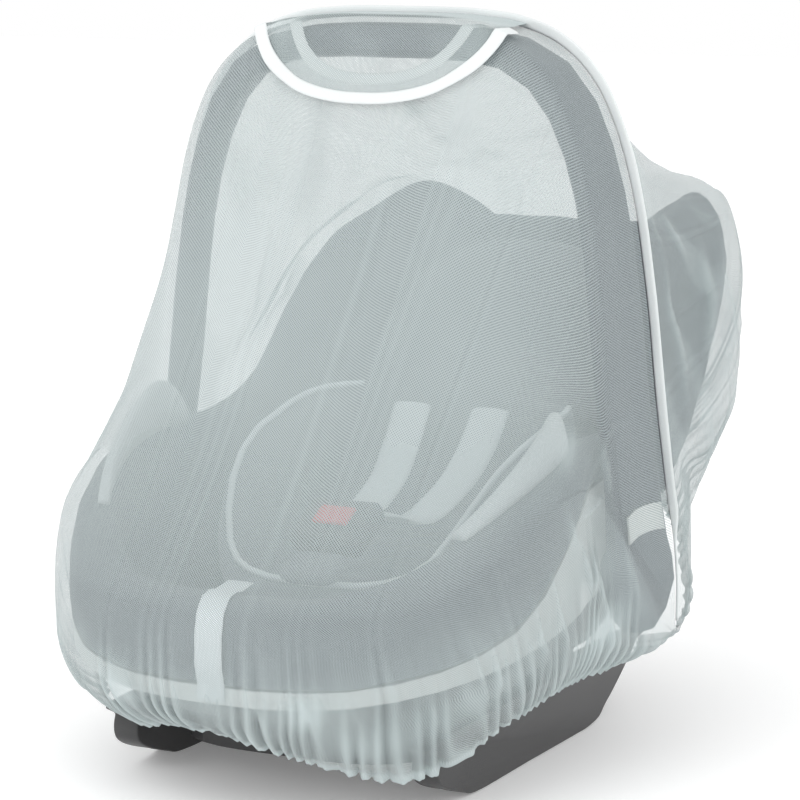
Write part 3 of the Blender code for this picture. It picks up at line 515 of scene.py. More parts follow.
@dataclass(frozen=True)
class NetForm:
    """Form in which the net hangs over the handle and the seat.

    Attributes:
        seat: Form of the seat.
        handle: Form of the handle.
        clearance: Distance of the net off the handle.
        rim_clearance: Distance of the net off the rim.
        hub_clearance: Extra distance of the seam off the handle's feet.
        seam_turn: Place of the seam behind the pivots, at the hem.
        front_gap: Distance of the front panel from the seam.
        rear_gap: Distance of the rear panel from the seam.
        sag: Sag of a full span.
        longest_span: Length of that span.
        opening_half_width: Half the width of the hand opening.
        opening_depth: Depth of the hand opening below the seam.
        flap_half_width: Half the width of the flap.
        flap_depth: Depth of the flap below the seam.
        roundness: Power of the rounded edges of opening and flap.
    """

    seat: SeatForm
    handle: HandleForm
    clearance: float = 0.0034
    rim_clearance: float = 0.0062
    hub_clearance: float = 0.0020
    seam_turn: float = 0.024
    front_gap: float = 0.0016
    rear_gap: float = 0.0018
    sag: float = 0.016
    longest_span: float = 0.45
    opening_half_width: float = 0.084
    opening_depth: float = 0.104
    flap_half_width: float = 0.100
    flap_depth: float = 0.112
    roundness: float = 2.6

    def seam_line(self, fractions: Array, lift: float = 0.0) -> Array:
        """Line where the two panels meet, on the rear part of the handle's outer face.

        Args:
            fractions: Places along the arch, 0 to 1.
            lift: Distance off the net's own clearance.

        Returns:
            Points shaped (places, 3).
        """
        fractions = np.clip(fractions, 0.0, 1.0)
        centre, through, along = self.handle.axes(fractions)
        from_foot = np.minimum(fractions, 1.0 - fractions)
        width, thickness = self.handle.section(np.clip(from_foot, 0.050, 0.5))
        side = 0.46 * np.clip(width, 0.050, 0.060)
        rise = lift + self.hub_clearance * (1 - smooth_step((from_foot - 0.050) / 0.050))
        return (centre + through * (thickness / 2 + self.clearance + rise)[:, None]
                + along * side[:, None])

    def rim_angles(self, front: bool, fractions: Array) -> Array:
        """Angles of the touch line, evenly spaced from the near seam to the far one."""
        start = self.seam_turn - self.front_gap if front else self.seam_turn + self.rear_gap
        turn = math.asin((start / self.seat.head_reach) ** (self.seat.head_squareness / 2))
        if front:
            return self.seat.loop_angles(-turn, np.pi + turn, fractions)
        return self.seat.loop_angles(-turn, turn - np.pi, fractions)

    def ring(self, front: bool, fractions: Array, outset: float, hub_drop: float = 0.0,
             hub_bulge: float = 0.0185, taper: float = 0.0) -> Array:
        """Loop of the net at the band's lower edge, bulged out over the pivots.

        Args:
            front: True for the front panel.
            fractions: Places from the near seam to the far one, 0 to 1.
            outset: Distance outside the rim's outline.
            hub_drop: Distance by which it hangs lower over the pivots.
            hub_bulge: Distance by which it stands out over the pivots.
            taper: Share of the head end's narrowing.

        Returns:
            Points shaped (places, 3).
        """
        across, along = self.seat.outline(self.rim_angles(front, fractions), outset, False, taper)
        hub = np.exp(-((along - 0.026) / np.where(along > 0.026, 0.052, 0.076)) ** 4)
        across = across + np.sign(across) * hub_bulge * hub
        return np.stack([across, along, self.seat.band_low(along) - hub_drop * hub], axis=1)

    def front_rim_line(self, fractions: Array) -> Array:
        """Touch line of the front panel on the rim, sinking to the hem at the pivots."""
        from_end = np.minimum(fractions, 1 - fractions)
        share = 0.90 * smooth_step(from_end / 0.16)
        line = self.ring(True, fractions, self.rim_clearance + 0.002, 0.0305)
        line[:, 2] += share * (self.seat.rim_top(line[:, 1]) - line[:, 2])
        return line

    def rear_rim_line(self, fractions: Array) -> Array:
        """Touch line of the rear panel on the head end's rim."""
        from_end = np.minimum(fractions, 1 - fractions)
        share = 1.03 * smooth_step(from_end / 0.12)
        inset = 0.0112 * smooth_step((from_end - 0.080) / 0.150)
        line = self.ring(False, fractions, self.rim_clearance + 0.002 - inset, 0.0305)
        top = self.seat.rim_top(np.minimum(line[:, 1], 0.325))
        top -= self.seat.corner_drop(line[:, 0], line[:, 1])
        line[:, 2] += share * (top - line[:, 2])
        return line

    def span(self, start: Array, end: Array, shares: Array, sag: Array) -> Array:
        """Points on a slack span: the chord, with a parabola of sag towards the middle.

        Args:
            start: Points of the first line.
            end: Points of the second line.
            shares: Place on the way between them, 0 to 1.
            sag: Depth of a span of the longest length.

        Returns:
            Points of the same shape as the lines.
        """
        middle = np.array([0.0, -0.02, 0.22])
        chord = end - start
        inward = middle - (start + end) / 2
        along = unit(chord)
        inward = unit(inward - along * (inward * along).sum(axis=1)[:, None])
        depth = sag * np.linalg.norm(chord, axis=1)[:, None] / self.longest_span
        return start + chord * shares + inward * depth * 4 * shares * (1 - shares)

    def rear_sag(self, fractions: Array) -> Array:
        """Sag of the rear panel, deepest behind the handle's upper corners."""
        from_end = np.minimum(fractions, 1 - fractions)
        corner = (smooth_step((from_end - 0.08) / 0.10)
                  * (1 - smooth_step((from_end - 0.30) / 0.12)))
        return self.sag * (0.5 + 2.2 * corner)

    def front(self, fractions: Array, distance: Array) -> tuple[Array, Array, Array]:
        """Front panel as far as the rim: over the bar, then hanging in a slack span.

        Args:
            fractions: Places along the arch, 0 to 1.
            distance: Distance down the cloth from the seam.

        Returns:
            Points, length of the cloth down to the rim, and length that lies on the bar.
        """
        fractions = np.asarray(fractions, dtype=float)
        seam = self.seam_line(fractions)
        seam[:, 1] -= self.front_gap
        from_end = np.minimum(fractions, 1 - fractions)
        reach = smooth_step(from_end / 0.09)[:, None]
        edge = seam + (self.handle.edge(fractions, -1.04, self.clearance) - seam) * reach
        rim = self.front_rim_line(fractions)
        bar = np.linalg.norm(edge - seam, axis=1)
        span = np.linalg.norm(rim - edge, axis=1)
        on_bar = np.clip(distance / np.maximum(bar, 1e-6), 0.0, 1.0)[:, None]
        share = np.clip((distance - bar) / span, 0.0, 1.0)[:, None]
        sag = self.sag * smooth_step((from_end - 0.050) / 0.120)[:, None]
        hanging = self.span(edge, rim, share, sag)
        points = np.where(on_bar < 1.0, seam + (edge - seam) * on_bar, hanging)
        return points, bar + span, bar

    def opening_drop(self, fractions: Array) -> Array:
        """Distance from the seam down to the edge of the hand opening, 0 beside it."""
        across = (np.abs(np.asarray(fractions) - 0.5) * self.handle.length()
                  / self.opening_half_width)
        inside = np.clip(1 - across ** self.roundness, 0.0, 1.0)
        return self.opening_depth * inside ** (1 / self.roundness)

    def front_normal(self, fractions: Array, distance: Array) -> Array:
        """Upward unit normal of the front panel."""
        step = 0.003
        centre = self.front(fractions, distance)[0]
        down = self.front(fractions, distance + step)[0] - centre
        side = self.front(fractions + step, distance)[0] - centre
        normal = unit(np.cross(down, side))
        return normal * np.sign(normal[:, 2])[:, None]

    def lifted(self, fractions: Array, distance: Array, lift: Array) -> Array:
        """Front panel moved outwards, mitred where it turns off the bar.

        Args:
            fractions: Places along the arch, 0 to 1.
            distance: Distance down the cloth from the seam.
            lift: Distance off the panel.

        Returns:
            Points shaped (places, 3).
        """
        above = self.front_normal(fractions, np.maximum(distance - 0.007, 0.0))
        below = self.front_normal(fractions, distance + 0.004)
        mean = (above + below) / 2
        mitre = mean / (mean ** 2).sum(axis=1)[:, None]
        return self.front(fractions, distance)[0] + mitre * np.reshape(lift, (-1, 1))

    def bound_edge(self, turns: Array, half_width: float, depth: float) -> Array:
        """Rounded free edge in the flat: across the bar and down from the seam."""
        power = 2 / self.roundness
        across = half_width * np.sign(np.cos(turns)) * np.abs(np.cos(turns)) ** power
        return np.stack([across, depth * np.sin(turns) ** power], axis=1)

    def on_front(self, flat: Array, lift: Array) -> Array:
        """Flat (across, down) points laid on the front panel, lifted off it."""
        fractions = 0.5 - flat[:, 0] / self.handle.length()
        return self.lifted(fractions, np.maximum(flat[:, 1], 0.0), lift)


# Meshes


class MeshKit:
    """Builds mesh objects from numpy grids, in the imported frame."""

    @staticmethod
    def _new(name: str, points: Array, quads: Array,
             caps: Sequence[Array] = ()) -> bpy.types.Object:
        """Smooth mesh object from points, four-sided faces and end caps."""
        mesh = bpy.data.meshes.new(name)
        sizes = [4] * len(quads) + [len(cap) for cap in caps]
        corners = np.concatenate([quads.reshape(-1), *caps]).astype(np.int32)
        mesh.vertices.add(len(points))
        mesh.vertices.foreach_set("co", points.astype(np.float32).ravel())
        mesh.loops.add(len(corners))
        mesh.loops.foreach_set("vertex_index", corners)
        mesh.polygons.add(len(sizes))
        starts = np.concatenate([[0], np.cumsum(sizes)[:-1]]).astype(np.int32)
        mesh.polygons.foreach_set("loop_start", starts)
        mesh.update(calc_edges=True)
        mesh.validate()
        mesh.polygons.foreach_set("use_smooth", np.ones(len(mesh.polygons), dtype=bool))
        thing = bpy.data.objects.new(name, mesh)
        bpy.context.scene.collection.objects.link(thing)
        return thing

    @staticmethod
    def _quads(rows: int, columns: int, around: bool) -> Array:
        """Corner numbers of a grid's faces; around joins the last column to the first."""
        last_column = columns if around else columns - 1
        i, j = np.meshgrid(np.arange(rows - 1), np.arange(last_column), indexing="ij")
        k = (j + 1) % columns
        m = i + 1
        return np.stack([i * columns + j, i * columns + k, m * columns + k, m * columns + j],
                        axis=-1).reshape(-1, 4)

    @classmethod
    def sheet(cls, name: str, grid: Array, outward: Optional[Array] = None,
              cover: Optional[Array] = None) -> bpy.types.Object:
        """Open cloth through a grid of points, with its own flat coordinates in metres.

        Args:
            name: Name of the piece.
            grid: Points shaped (rows, columns, 3).
            outward: Point from which the faces look away; the middle of the seat if left out.
            cover: Share of extra thread at each point, for the net's density.

        Returns:
            The object.
        """
        rows, columns, _ = grid.shape
        middle = SEAT_CORE if outward is None else outward
        quads = cls._quads(rows, columns, False)
        points = grid.reshape(-1, 3)
        a, b, c = points[quads[:, 0]], points[quads[:, 1]], points[quads[:, 2]]
        facing = (np.cross(b - a, c - a) * (a - middle)).sum()
        if facing < 0:
            quads = quads[:, ::-1]
        flat = cls.flat_coordinates(grid)
        thing = cls._new(name, points - (0.0, AXIS_SHIFT, 0.0), quads)
        cls._add_uv(thing.data, flat.reshape(-1, 2))
        if cover is not None:
            layer = thing.data.attributes.new(COVER_ATTRIBUTE, "FLOAT", "POINT")
            layer.data.foreach_set("value", cover.astype(np.float32).ravel())
        return thing

    @staticmethod
    def flat_coordinates(grid: Array) -> Array:
        """Lengths along the rows, from their middle, and down the columns, in metres."""
        across = np.linalg.norm(np.diff(grid, axis=1), axis=2)
        across = np.concatenate([np.zeros((len(grid), 1)), np.cumsum(across, axis=1)], axis=1)
        across -= across[:, grid.shape[1] // 2][:, None]
        down = np.linalg.norm(np.diff(grid, axis=0), axis=2).mean(axis=1)
        down = np.concatenate([[0.0], np.cumsum(down)])
        return np.stack([across, np.broadcast_to(down[:, None], across.shape)], axis=-1)

    @staticmethod
    def _add_uv(mesh: bpy.types.Mesh, flat: Array) -> None:
        """Give each face corner the flat coordinates of its vertex."""
        layer = mesh.uv_layers.new(name=CLOTH_UV)
        corners = np.zeros(len(mesh.loops), dtype=np.int32)
        mesh.loops.foreach_get("vertex_index", corners)
        layer.data.foreach_set("uv", flat[corners].astype(np.float32).ravel())

    @classmethod
    def tube(cls, name: str, grid: Array) -> bpy.types.Object:
        """Closed form: each row of the grid is a loop, and the two end rows are capped."""
        rows, columns, _ = grid.shape
        quads = cls._quads(rows, columns, True)
        first = np.arange(columns)[::-1]
        last = np.arange((rows - 1) * columns, rows * columns)
        points = grid.reshape(-1, 3)
        thing = cls._new(name, points - (0.0, AXIS_SHIFT, 0.0), quads, (first, last))
        cls._add_uv(thing.data, cls.flat_coordinates(grid).reshape(-1, 2))
        cls.face_outwards(thing.data)
        return thing

    @classmethod
    def tape(cls, name: str, rows: Sequence[Array], thickness: float) -> bpy.types.Object:
        """Flat tape with rounded edges: rows run along it, side by side across its width."""
        middle = np.stack(rows)
        along = np.gradient(middle, axis=1)
        across = np.gradient(middle, axis=0)
        normal = unit(np.cross(along, across))
        share = np.linspace(-1.0, 1.0, len(rows))[:, None, None]
        half = 0.5 * thickness * (1 - 0.92 * np.abs(share) ** 5)
        upper = middle + normal * half
        lower = (middle - normal * half)[::-1]
        loops = np.concatenate([upper, lower], axis=0).transpose(1, 0, 2)
        return cls.tube(name, loops)

    @classmethod
    def pad(cls, name: str, rings: Sequence[Array], fine: int, caps: int = 5) -> bpy.types.Object:
        """Padded form: rings joined by a smooth skin, closed straight across at both ends.

        Args:
            name: Name of the piece.
            rings: Loops of the same count, mirror-symmetric about the seat's middle plane.
            fine: Rows read between the first ring and the last.
            caps: Extra rows that close each end towards the middle plane.

        Returns:
            The object.
        """
        stack = np.stack(rings)
        step = np.linalg.norm(np.diff(stack, axis=0), axis=2).mean(axis=1)
        at = np.concatenate([[0.0], np.cumsum(step)])
        body = smooth_rows(stack, at, np.linspace(0.0, at[-1], fine))
        shrink = np.linspace(1.0, 0.0, caps + 1)[1:, None]
        low = [body[0].copy() for _ in shrink]
        high = [body[-1].copy() for _ in shrink]
        for row, share in zip(low, shrink):
            row[:, 0] *= share
        for row, share in zip(high, shrink):
            row[:, 0] *= share
        grid = np.concatenate([np.stack(low[::-1]), body, np.stack(high)], axis=0)
        rows, columns, _ = grid.shape
        quads = cls._quads(rows, columns, True)
        thing = cls._new(name, grid.reshape(-1, 3) - (0.0, AXIS_SHIFT, 0.0), quads)
        cls._add_uv(thing.data, cls.flat_coordinates(grid).reshape(-1, 2))
        work = bmesh.new()
        work.from_mesh(thing.data)
        bmesh.ops.remove_doubles(work, verts=work.verts, dist=1e-5)
        bmesh.ops.recalc_face_normals(work, faces=work.faces)
        work.to_mesh(thing.data)
        work.free()
        return thing

    @staticmethod
    def face_outwards(mesh: bpy.types.Mesh) -> None:
        """Turn a closed mesh's faces outwards."""
        work = bmesh.new()
        work.from_mesh(mesh)
        bmesh.ops.recalc_face_normals(work, faces=work.faces)
        work.to_mesh(mesh)
        work.free()

    @staticmethod
    def swell(thing: bpy.types.Object, amount: Callable[[Array], Array]) -> None:
        """Move each point along its normal by an amount worked out from its place."""
        mesh = thing.data
        points = np.zeros(len(mesh.vertices) * 3, dtype=np.float32)
        normals = np.zeros(len(mesh.vertices) * 3, dtype=np.float32)
        mesh.vertices.foreach_get("co", points)
        mesh.vertex_normals.foreach_get("vector", normals)
        points = points.reshape(-1, 3)
        points = points + normals.reshape(-1, 3) * amount(points)[:, None]
        mesh.vertices.foreach_set("co", points.astype(np.float32).ravel())
        mesh.update()


# Materials


class Surface(Enum):
    """Kinds of surface, each with its own small relief."""

    TULLE = "tulle"
    TAPE = "tape"
    CLOTH = "cloth"
    KNIT = "knit"
    WEBBING = "webbing"
    MOULDED = "moulded"


@dataclass(frozen=True)
class Finish:
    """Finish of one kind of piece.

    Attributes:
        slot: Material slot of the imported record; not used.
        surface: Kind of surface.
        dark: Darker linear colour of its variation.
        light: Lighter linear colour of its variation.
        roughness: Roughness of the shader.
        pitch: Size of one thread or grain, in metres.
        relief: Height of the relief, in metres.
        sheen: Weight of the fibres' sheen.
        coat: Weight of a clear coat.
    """

    slot: str
    surface: Surface
    dark: tuple[float, float, float]
    light: tuple[float, float, float]
    roughness: float
    pitch: float
    relief: float
    sheen: float = 0.0
    coat: float = 0.0


FINISHES = {
    "net": Finish("net", Surface.TULLE, (0.430, 0.500, 0.508), (0.500, 0.570, 0.572),
                  0.72, 0.0011, 0.00012, 0.15),
    "binding": Finish("binding", Surface.TAPE, (0.69, 0.725, 0.725), (0.79, 0.82, 0.82),
                      0.70, 0.0010, 0.00015, 0.15),
    "cover": Finish("cover", Surface.CLOTH, (0.060, 0.066, 0.084), (0.135, 0.145, 0.170),
                    0.88, 0.0012, 0.00022, 0.20),
    "inlay": Finish("inlay", Surface.KNIT, (0.110, 0.120, 0.138), (0.200, 0.212, 0.235),
                    0.90, 0.0024, 0.00035, 0.20),
    "lining": Finish("trim", Surface.CLOTH, (0.60, 0.63, 0.64), (0.78, 0.80, 0.81),
                     0.82, 0.0012, 0.00018, 0.20),
    "piping": Finish("piping", Surface.TAPE, (0.66, 0.70, 0.72), (0.80, 0.84, 0.86),
                     0.65, 0.0009, 0.00012, 0.15),
    "webbing": Finish("webbing", Surface.WEBBING, (0.70, 0.74, 0.76), (0.86, 0.90, 0.92),
                      0.62, 0.0016, 0.00030, 0.15),
    "shell": Finish("shell", Surface.MOULDED, (0.026, 0.026, 0.027), (0.040, 0.040, 0.041),
                    0.50, 0.0016, 0.00010),
    "rocker": Finish("shell", Surface.MOULDED, (0.040, 0.040, 0.041), (0.060, 0.060, 0.061),
                     0.45, 0.0016, 0.00010),
    "handle": Finish("handle", Surface.MOULDED, (0.050, 0.054, 0.078), (0.072, 0.077, 0.104),
                     0.44, 0.0014, 0.00008, 0.0, 0.08),
    "trim": Finish("trim", Surface.MOULDED, (0.66, 0.675, 0.66), (0.76, 0.775, 0.76),
                   0.36, 0.0012, 0.00004, 0.0, 0.15),
    "red": Finish("red_plastic", Surface.MOULDED, (0.68, 0.006, 0.010), (0.80, 0.010, 0.014),
                  0.32, 0.0010, 0.00003, 0.0, 0.2),
}


class NodeKit:
    """Adds and joins nodes in one node tree."""

    def __init__(self, tree: bpy.types.NodeTree) -> None:
        """Work in this node tree."""
        self.tree = tree

    def node(self, kind: str, **settings: object) -> bpy.types.Node:
        """New node with its own settings."""
        made = self.tree.nodes.new(kind)
        for key, value in settings.items():
            setattr(made, key, value)
        return made

    def feed(self, target: bpy.types.NodeSocket, value: object) -> None:
        """Give an input a constant or another node's output."""
        if isinstance(value, bpy.types.NodeSocket):
            self.tree.links.new(value, target)
        else:
            target.default_value = value

    def maths(self, operation: str, first: object, second: object = 0.0,
              third: object = 0.0) -> bpy.types.NodeSocket:
        """Output of a math node."""
        made = self.node("ShaderNodeMath", operation=operation)
        self.feed(made.inputs[0], first)
        self.feed(made.inputs[1], second)
        self.feed(made.inputs[2], third)
        return made.outputs[0]

    def ramp(self, value: object, start: float, stop: float, low: float,
             high: float) -> bpy.types.NodeSocket:
        """Value read between two limits with soft ends."""
        made = self.node("ShaderNodeMapRange", interpolation_type="SMOOTHSTEP")
        for index, item in enumerate((value, start, stop, low, high)):
            self.feed(made.inputs[index], item)
        return made.outputs[0]

    def split(self, vector: object) -> tuple[bpy.types.NodeSocket, bpy.types.NodeSocket,
                                             bpy.types.NodeSocket]:
        """Three coordinates of a vector."""
        made = self.node("ShaderNodeSeparateXYZ")
        self.feed(made.inputs[0], vector)
        return made.outputs[0], made.outputs[1], made.outputs[2]

    def scaled(self, vector: object, scale: object) -> bpy.types.NodeSocket:
        """Vector times a number."""
        made = self.node("ShaderNodeVectorMath", operation="SCALE")
        self.feed(made.inputs[0], vector)
        self.feed(made.inputs["Scale"], scale)
        return made.outputs[0]

    def noise(self, vector: object, scale: float, detail: float = 2.0) -> bpy.types.NodeSocket:
        """Noise value."""
        made = self.node("ShaderNodeTexNoise")
        self.feed(made.inputs["Vector"], vector)
        made.inputs["Scale"].default_value = scale
        made.inputs["Detail"].default_value = detail
        return made.outputs[0]


class ReliefGroups:
    """Node groups for weaves and grain, shared by the materials."""

    def __init__(self) -> None:
        """Start with no group made."""
        self.made: dict[Surface, bpy.types.NodeTree] = {}

    def group(self, surface: Surface) -> bpy.types.NodeTree:
        """Node group of a surface, made on first use."""
        if surface not in self.made:
            builders = {
                Surface.TULLE: self._tulle,
                Surface.TAPE: self._tape,
                Surface.CLOTH: self._cloth,
                Surface.KNIT: self._knit,
                Surface.WEBBING: self._webbing,
                Surface.MOULDED: self._moulded,
            }
            self.made[surface] = builders[surface]()
        return self.made[surface]

    @staticmethod
    def _start(name: str) -> tuple[bpy.types.NodeTree, NodeKit, bpy.types.Node,
                                   bpy.types.Node]:
        """Empty group with its sockets, its kit and its two end nodes."""
        tree = bpy.data.node_groups.new(name, "ShaderNodeTree")
        face = tree.interface
        face.new_socket(name="Vector", in_out="INPUT", socket_type="NodeSocketVector")
        face.new_socket(name="Pitch", in_out="INPUT", socket_type="NodeSocketFloat")
        face.new_socket(name="Height", in_out="OUTPUT", socket_type="NodeSocketFloat")
        face.new_socket(name="Thread", in_out="OUTPUT", socket_type="NodeSocketFloat")
        kit = NodeKit(tree)
        return tree, kit, kit.node("NodeGroupInput"), kit.node("NodeGroupOutput")

    def _tulle(self) -> bpy.types.NodeTree:
        """Hexagonal net: the sum of three cosines at a third of a turn peaks in each hole."""
        tree, kit, start, end = self._start("tulle_weave")
        turns = kit.scaled(start.outputs["Vector"],
                           kit.maths("DIVIDE", 2 * math.pi, start.outputs["Pitch"]))
        u, v, _ = kit.split(turns)
        waves = []
        for along, down in ((1.0, 0.0), (0.5, 0.866), (0.5, -0.866)):
            angle = kit.maths("ADD", kit.maths("MULTIPLY", u, along),
                              kit.maths("MULTIPLY", v, down))
            waves.append(kit.maths("COSINE", angle))
        total = kit.maths("ADD", kit.maths("ADD", waves[0], waves[1]), waves[2])
        thread = kit.ramp(total, 1.5, -0.5, 0.0, 1.0)
        kit.feed(end.inputs["Thread"], thread)
        kit.feed(end.inputs["Height"], thread)
        return tree

    def _tape(self) -> bpy.types.NodeTree:
        """Woven tape: fine ribs along it with a close weave over them."""
        tree, kit, start, end = self._start("tape_weave")
        turns = kit.scaled(start.outputs["Vector"],
                           kit.maths("DIVIDE", 2 * math.pi, start.outputs["Pitch"]))
        u, v, _ = kit.split(turns)
        ribs = kit.maths("SINE", v)
        picks = kit.maths("SINE", kit.maths("MULTIPLY", u, 0.7))
        height = kit.maths("ADD", kit.maths("MULTIPLY", ribs, 0.35),
                           kit.maths("MULTIPLY", picks, 0.15))
        kit.feed(end.inputs["Height"], kit.maths("ADD", height, 0.5))
        kit.feed(end.inputs["Thread"], kit.noise(start.outputs["Vector"], 900.0))
        return tree

    def _cloth(self) -> bpy.types.NodeTree:
        """Plain weave: warp and weft rise in turn, with flecks of lighter yarn."""
        tree, kit, start, end = self._start("plain_weave")
        turns = kit.scaled(start.outputs["Vector"],
                           kit.maths("DIVIDE", math.pi, start.outputs["Pitch"]))
        u, v, _ = kit.split(turns)
        height = kit.maths("MULTIPLY", kit.maths("SINE", u), kit.maths("SINE", v))
        kit.feed(end.inputs["Height"], kit.maths("MULTIPLY_ADD", height, 0.5, 0.5))
        fleck = kit.noise(start.outputs["Vector"], 420.0, 3.0)
        kit.feed(end.inputs["Thread"], kit.ramp(fleck, 0.36, 0.66, 0.0, 1.0))
        return tree

    def _knit(self) -> bpy.types.NodeTree:
        """Spacer knit: staggered round dimples between raised yarn."""
        tree, kit, start, end = self._start("spacer_knit")
        turns = kit.scaled(start.outputs["Vector"],
                           kit.maths("DIVIDE", 2 * math.pi, start.outputs["Pitch"]))
        u, v, _ = kit.split(turns)
        first = kit.maths("COSINE", kit.maths("ADD", u, v))
        second = kit.maths("COSINE", kit.maths("SUBTRACT", u, v))
        total = kit.maths("ADD", first, second)
        dimple = kit.ramp(total, 0.6, 1.8, 1.0, 0.0)
        kit.feed(end.inputs["Height"], dimple)
        fleck = kit.noise(start.outputs["Vector"], 260.0, 3.0)
        kit.feed(end.inputs["Thread"], kit.maths("MULTIPLY", dimple,
                                                 kit.ramp(fleck, 0.3, 0.7, 0.3, 1.0)))
        return tree

    def _webbing(self) -> bpy.types.NodeTree:
        """Strap webbing: slanted picks that reverse in each rib along the strap."""
        tree, kit, start, end = self._start("strap_webbing")
        turns = kit.scaled(start.outputs["Vector"],
                           kit.maths("DIVIDE", 2 * math.pi, start.outputs["Pitch"]))
        u, v, _ = kit.split(turns)
        rib = kit.maths("SINE", kit.maths("MULTIPLY", u, 0.5))
        slant = kit.maths("MULTIPLY", kit.maths("ABSOLUTE", rib), 2.6)
        pick = kit.maths("SINE", kit.maths("ADD", v, slant))
        height = kit.maths("ADD", kit.maths("MULTIPLY", pick, 0.25),
                           kit.maths("MULTIPLY", kit.maths("ABSOLUTE", rib), 0.5))
        kit.feed(end.inputs["Height"], kit.maths("ADD", height, 0.25))
        kit.feed(end.inputs["Thread"], kit.ramp(pick, -1.0, 1.0, 0.0, 1.0))
        return tree

    def _moulded(self) -> bpy.types.NodeTree:
        """Moulded plastic: fine leathery grain over a faint unevenness."""
        tree, kit, start, end = self._start("moulded_grain")
        vector = kit.scaled(start.outputs["Vector"],
                            kit.maths("DIVIDE", 1.0, start.outputs["Pitch"]))
        cells = kit.node("ShaderNodeTexVoronoi", feature="SMOOTH_F1")
        kit.feed(cells.inputs["Vector"], vector)
        cells.inputs["Scale"].default_value = 1.0
        kit.feed(end.inputs["Height"], cells.outputs["Distance"])
        kit.feed(end.inputs["Thread"], kit.noise(start.outputs["Vector"], 34.0, 5.0))
        return tree


class Painter:
    """Makes one material for each finish and puts it on pieces."""

    def __init__(self) -> None:
        """Start with no material made."""
        self.reliefs = ReliefGroups()
        self.made: dict[tuple[str, bool], bpy.types.Material] = {}

    def paint(self, thing: bpy.types.Object, name: str, own_uv: bool = True) -> None:
        """Give a piece its finish.

        Args:
            thing: The piece.
            name: Key in FINISHES.
            own_uv: True where the piece carries flat coordinates, False on CAD nodes.
        """
        key = (name, own_uv)
        if key not in self.made:
            self.made[key] = self._material(name, own_uv)
        thing.data.materials.clear()
        thing.data.materials.append(self.made[key])

    def _material(self, name: str, own_uv: bool) -> bpy.types.Material:
        """Material of a finish, on flat coordinates or on Object coordinates."""
        finish = FINISHES[name]
        material = bpy.data.materials.new(name if own_uv else f"{name}_frame")
        material.use_nodes = True
        kit = NodeKit(material.node_tree)
        shader = material.node_tree.nodes["Principled BSDF"]
        if own_uv:
            place = kit.node("ShaderNodeUVMap", uv_map=CLOTH_UV).outputs[0]
        else:
            place = kit.node("ShaderNodeTexCoord").outputs["Object"]
        relief = kit.node("ShaderNodeGroup")
        relief.node_tree = self.reliefs.group(finish.surface)
        kit.feed(relief.inputs["Vector"], place)
        relief.inputs["Pitch"].default_value = finish.pitch
        self._colour(kit, shader, finish, relief)
        self._bump(kit, shader, finish, relief)
        shader.inputs["Roughness"].default_value = finish.roughness
        shader.inputs["Sheen Weight"].default_value = finish.sheen
        shader.inputs["Coat Weight"].default_value = finish.coat
        if finish.surface is Surface.TULLE:
            self._sheer(kit, shader, relief)
        return material

    @staticmethod
    def _colour(kit: NodeKit, shader: bpy.types.Node, finish: Finish,
                relief: bpy.types.Node) -> None:
        """Mix the two colours by the thread value and a broad, faint unevenness."""
        spot = kit.node("ShaderNodeTexCoord").outputs["Object"]
        broad = kit.ramp(kit.noise(spot, 11.0, 3.0), 0.25, 0.75, -0.18, 0.18)
        share = kit.maths("ADD", relief.outputs["Thread"], broad)
        share.node.use_clamp = True
        mix = kit.node("ShaderNodeMix", data_type="RGBA")
        kit.feed(mix.inputs[0], share)
        mix.inputs[6].default_value = (*finish.dark, 1.0)
        mix.inputs[7].default_value = (*finish.light, 1.0)
        kit.feed(shader.inputs["Base Color"], mix.outputs[2])

    @staticmethod
    def _bump(kit: NodeKit, shader: bpy.types.Node, finish: Finish,
              relief: bpy.types.Node) -> None:
        """Raise the threads or grain."""
        bump = kit.node("ShaderNodeBump")
        bump.inputs["Strength"].default_value = 0.6
        bump.inputs["Distance"].default_value = finish.relief
        kit.feed(bump.inputs["Height"], relief.outputs["Height"])
        kit.feed(shader.inputs["Normal"], bump.outputs[0])

    @staticmethod
    def _sheer(kit: NodeKit, shader: bpy.types.Node, relief: bpy.types.Node) -> None:
        """Let light through the holes; bunched cloth lets less through."""
        bunched = kit.node("ShaderNodeAttribute", attribute_name=COVER_ATTRIBUTE).outputs["Fac"]
        weave = kit.ramp(relief.outputs["Thread"], 0.0, 1.0, 0.09, 0.60)
        room = kit.maths("SUBTRACT", 1.0, weave)
        alpha = kit.maths("MULTIPLY_ADD", room, bunched, weave)
        kit.feed(shader.inputs["Alpha"], alpha)


# The net


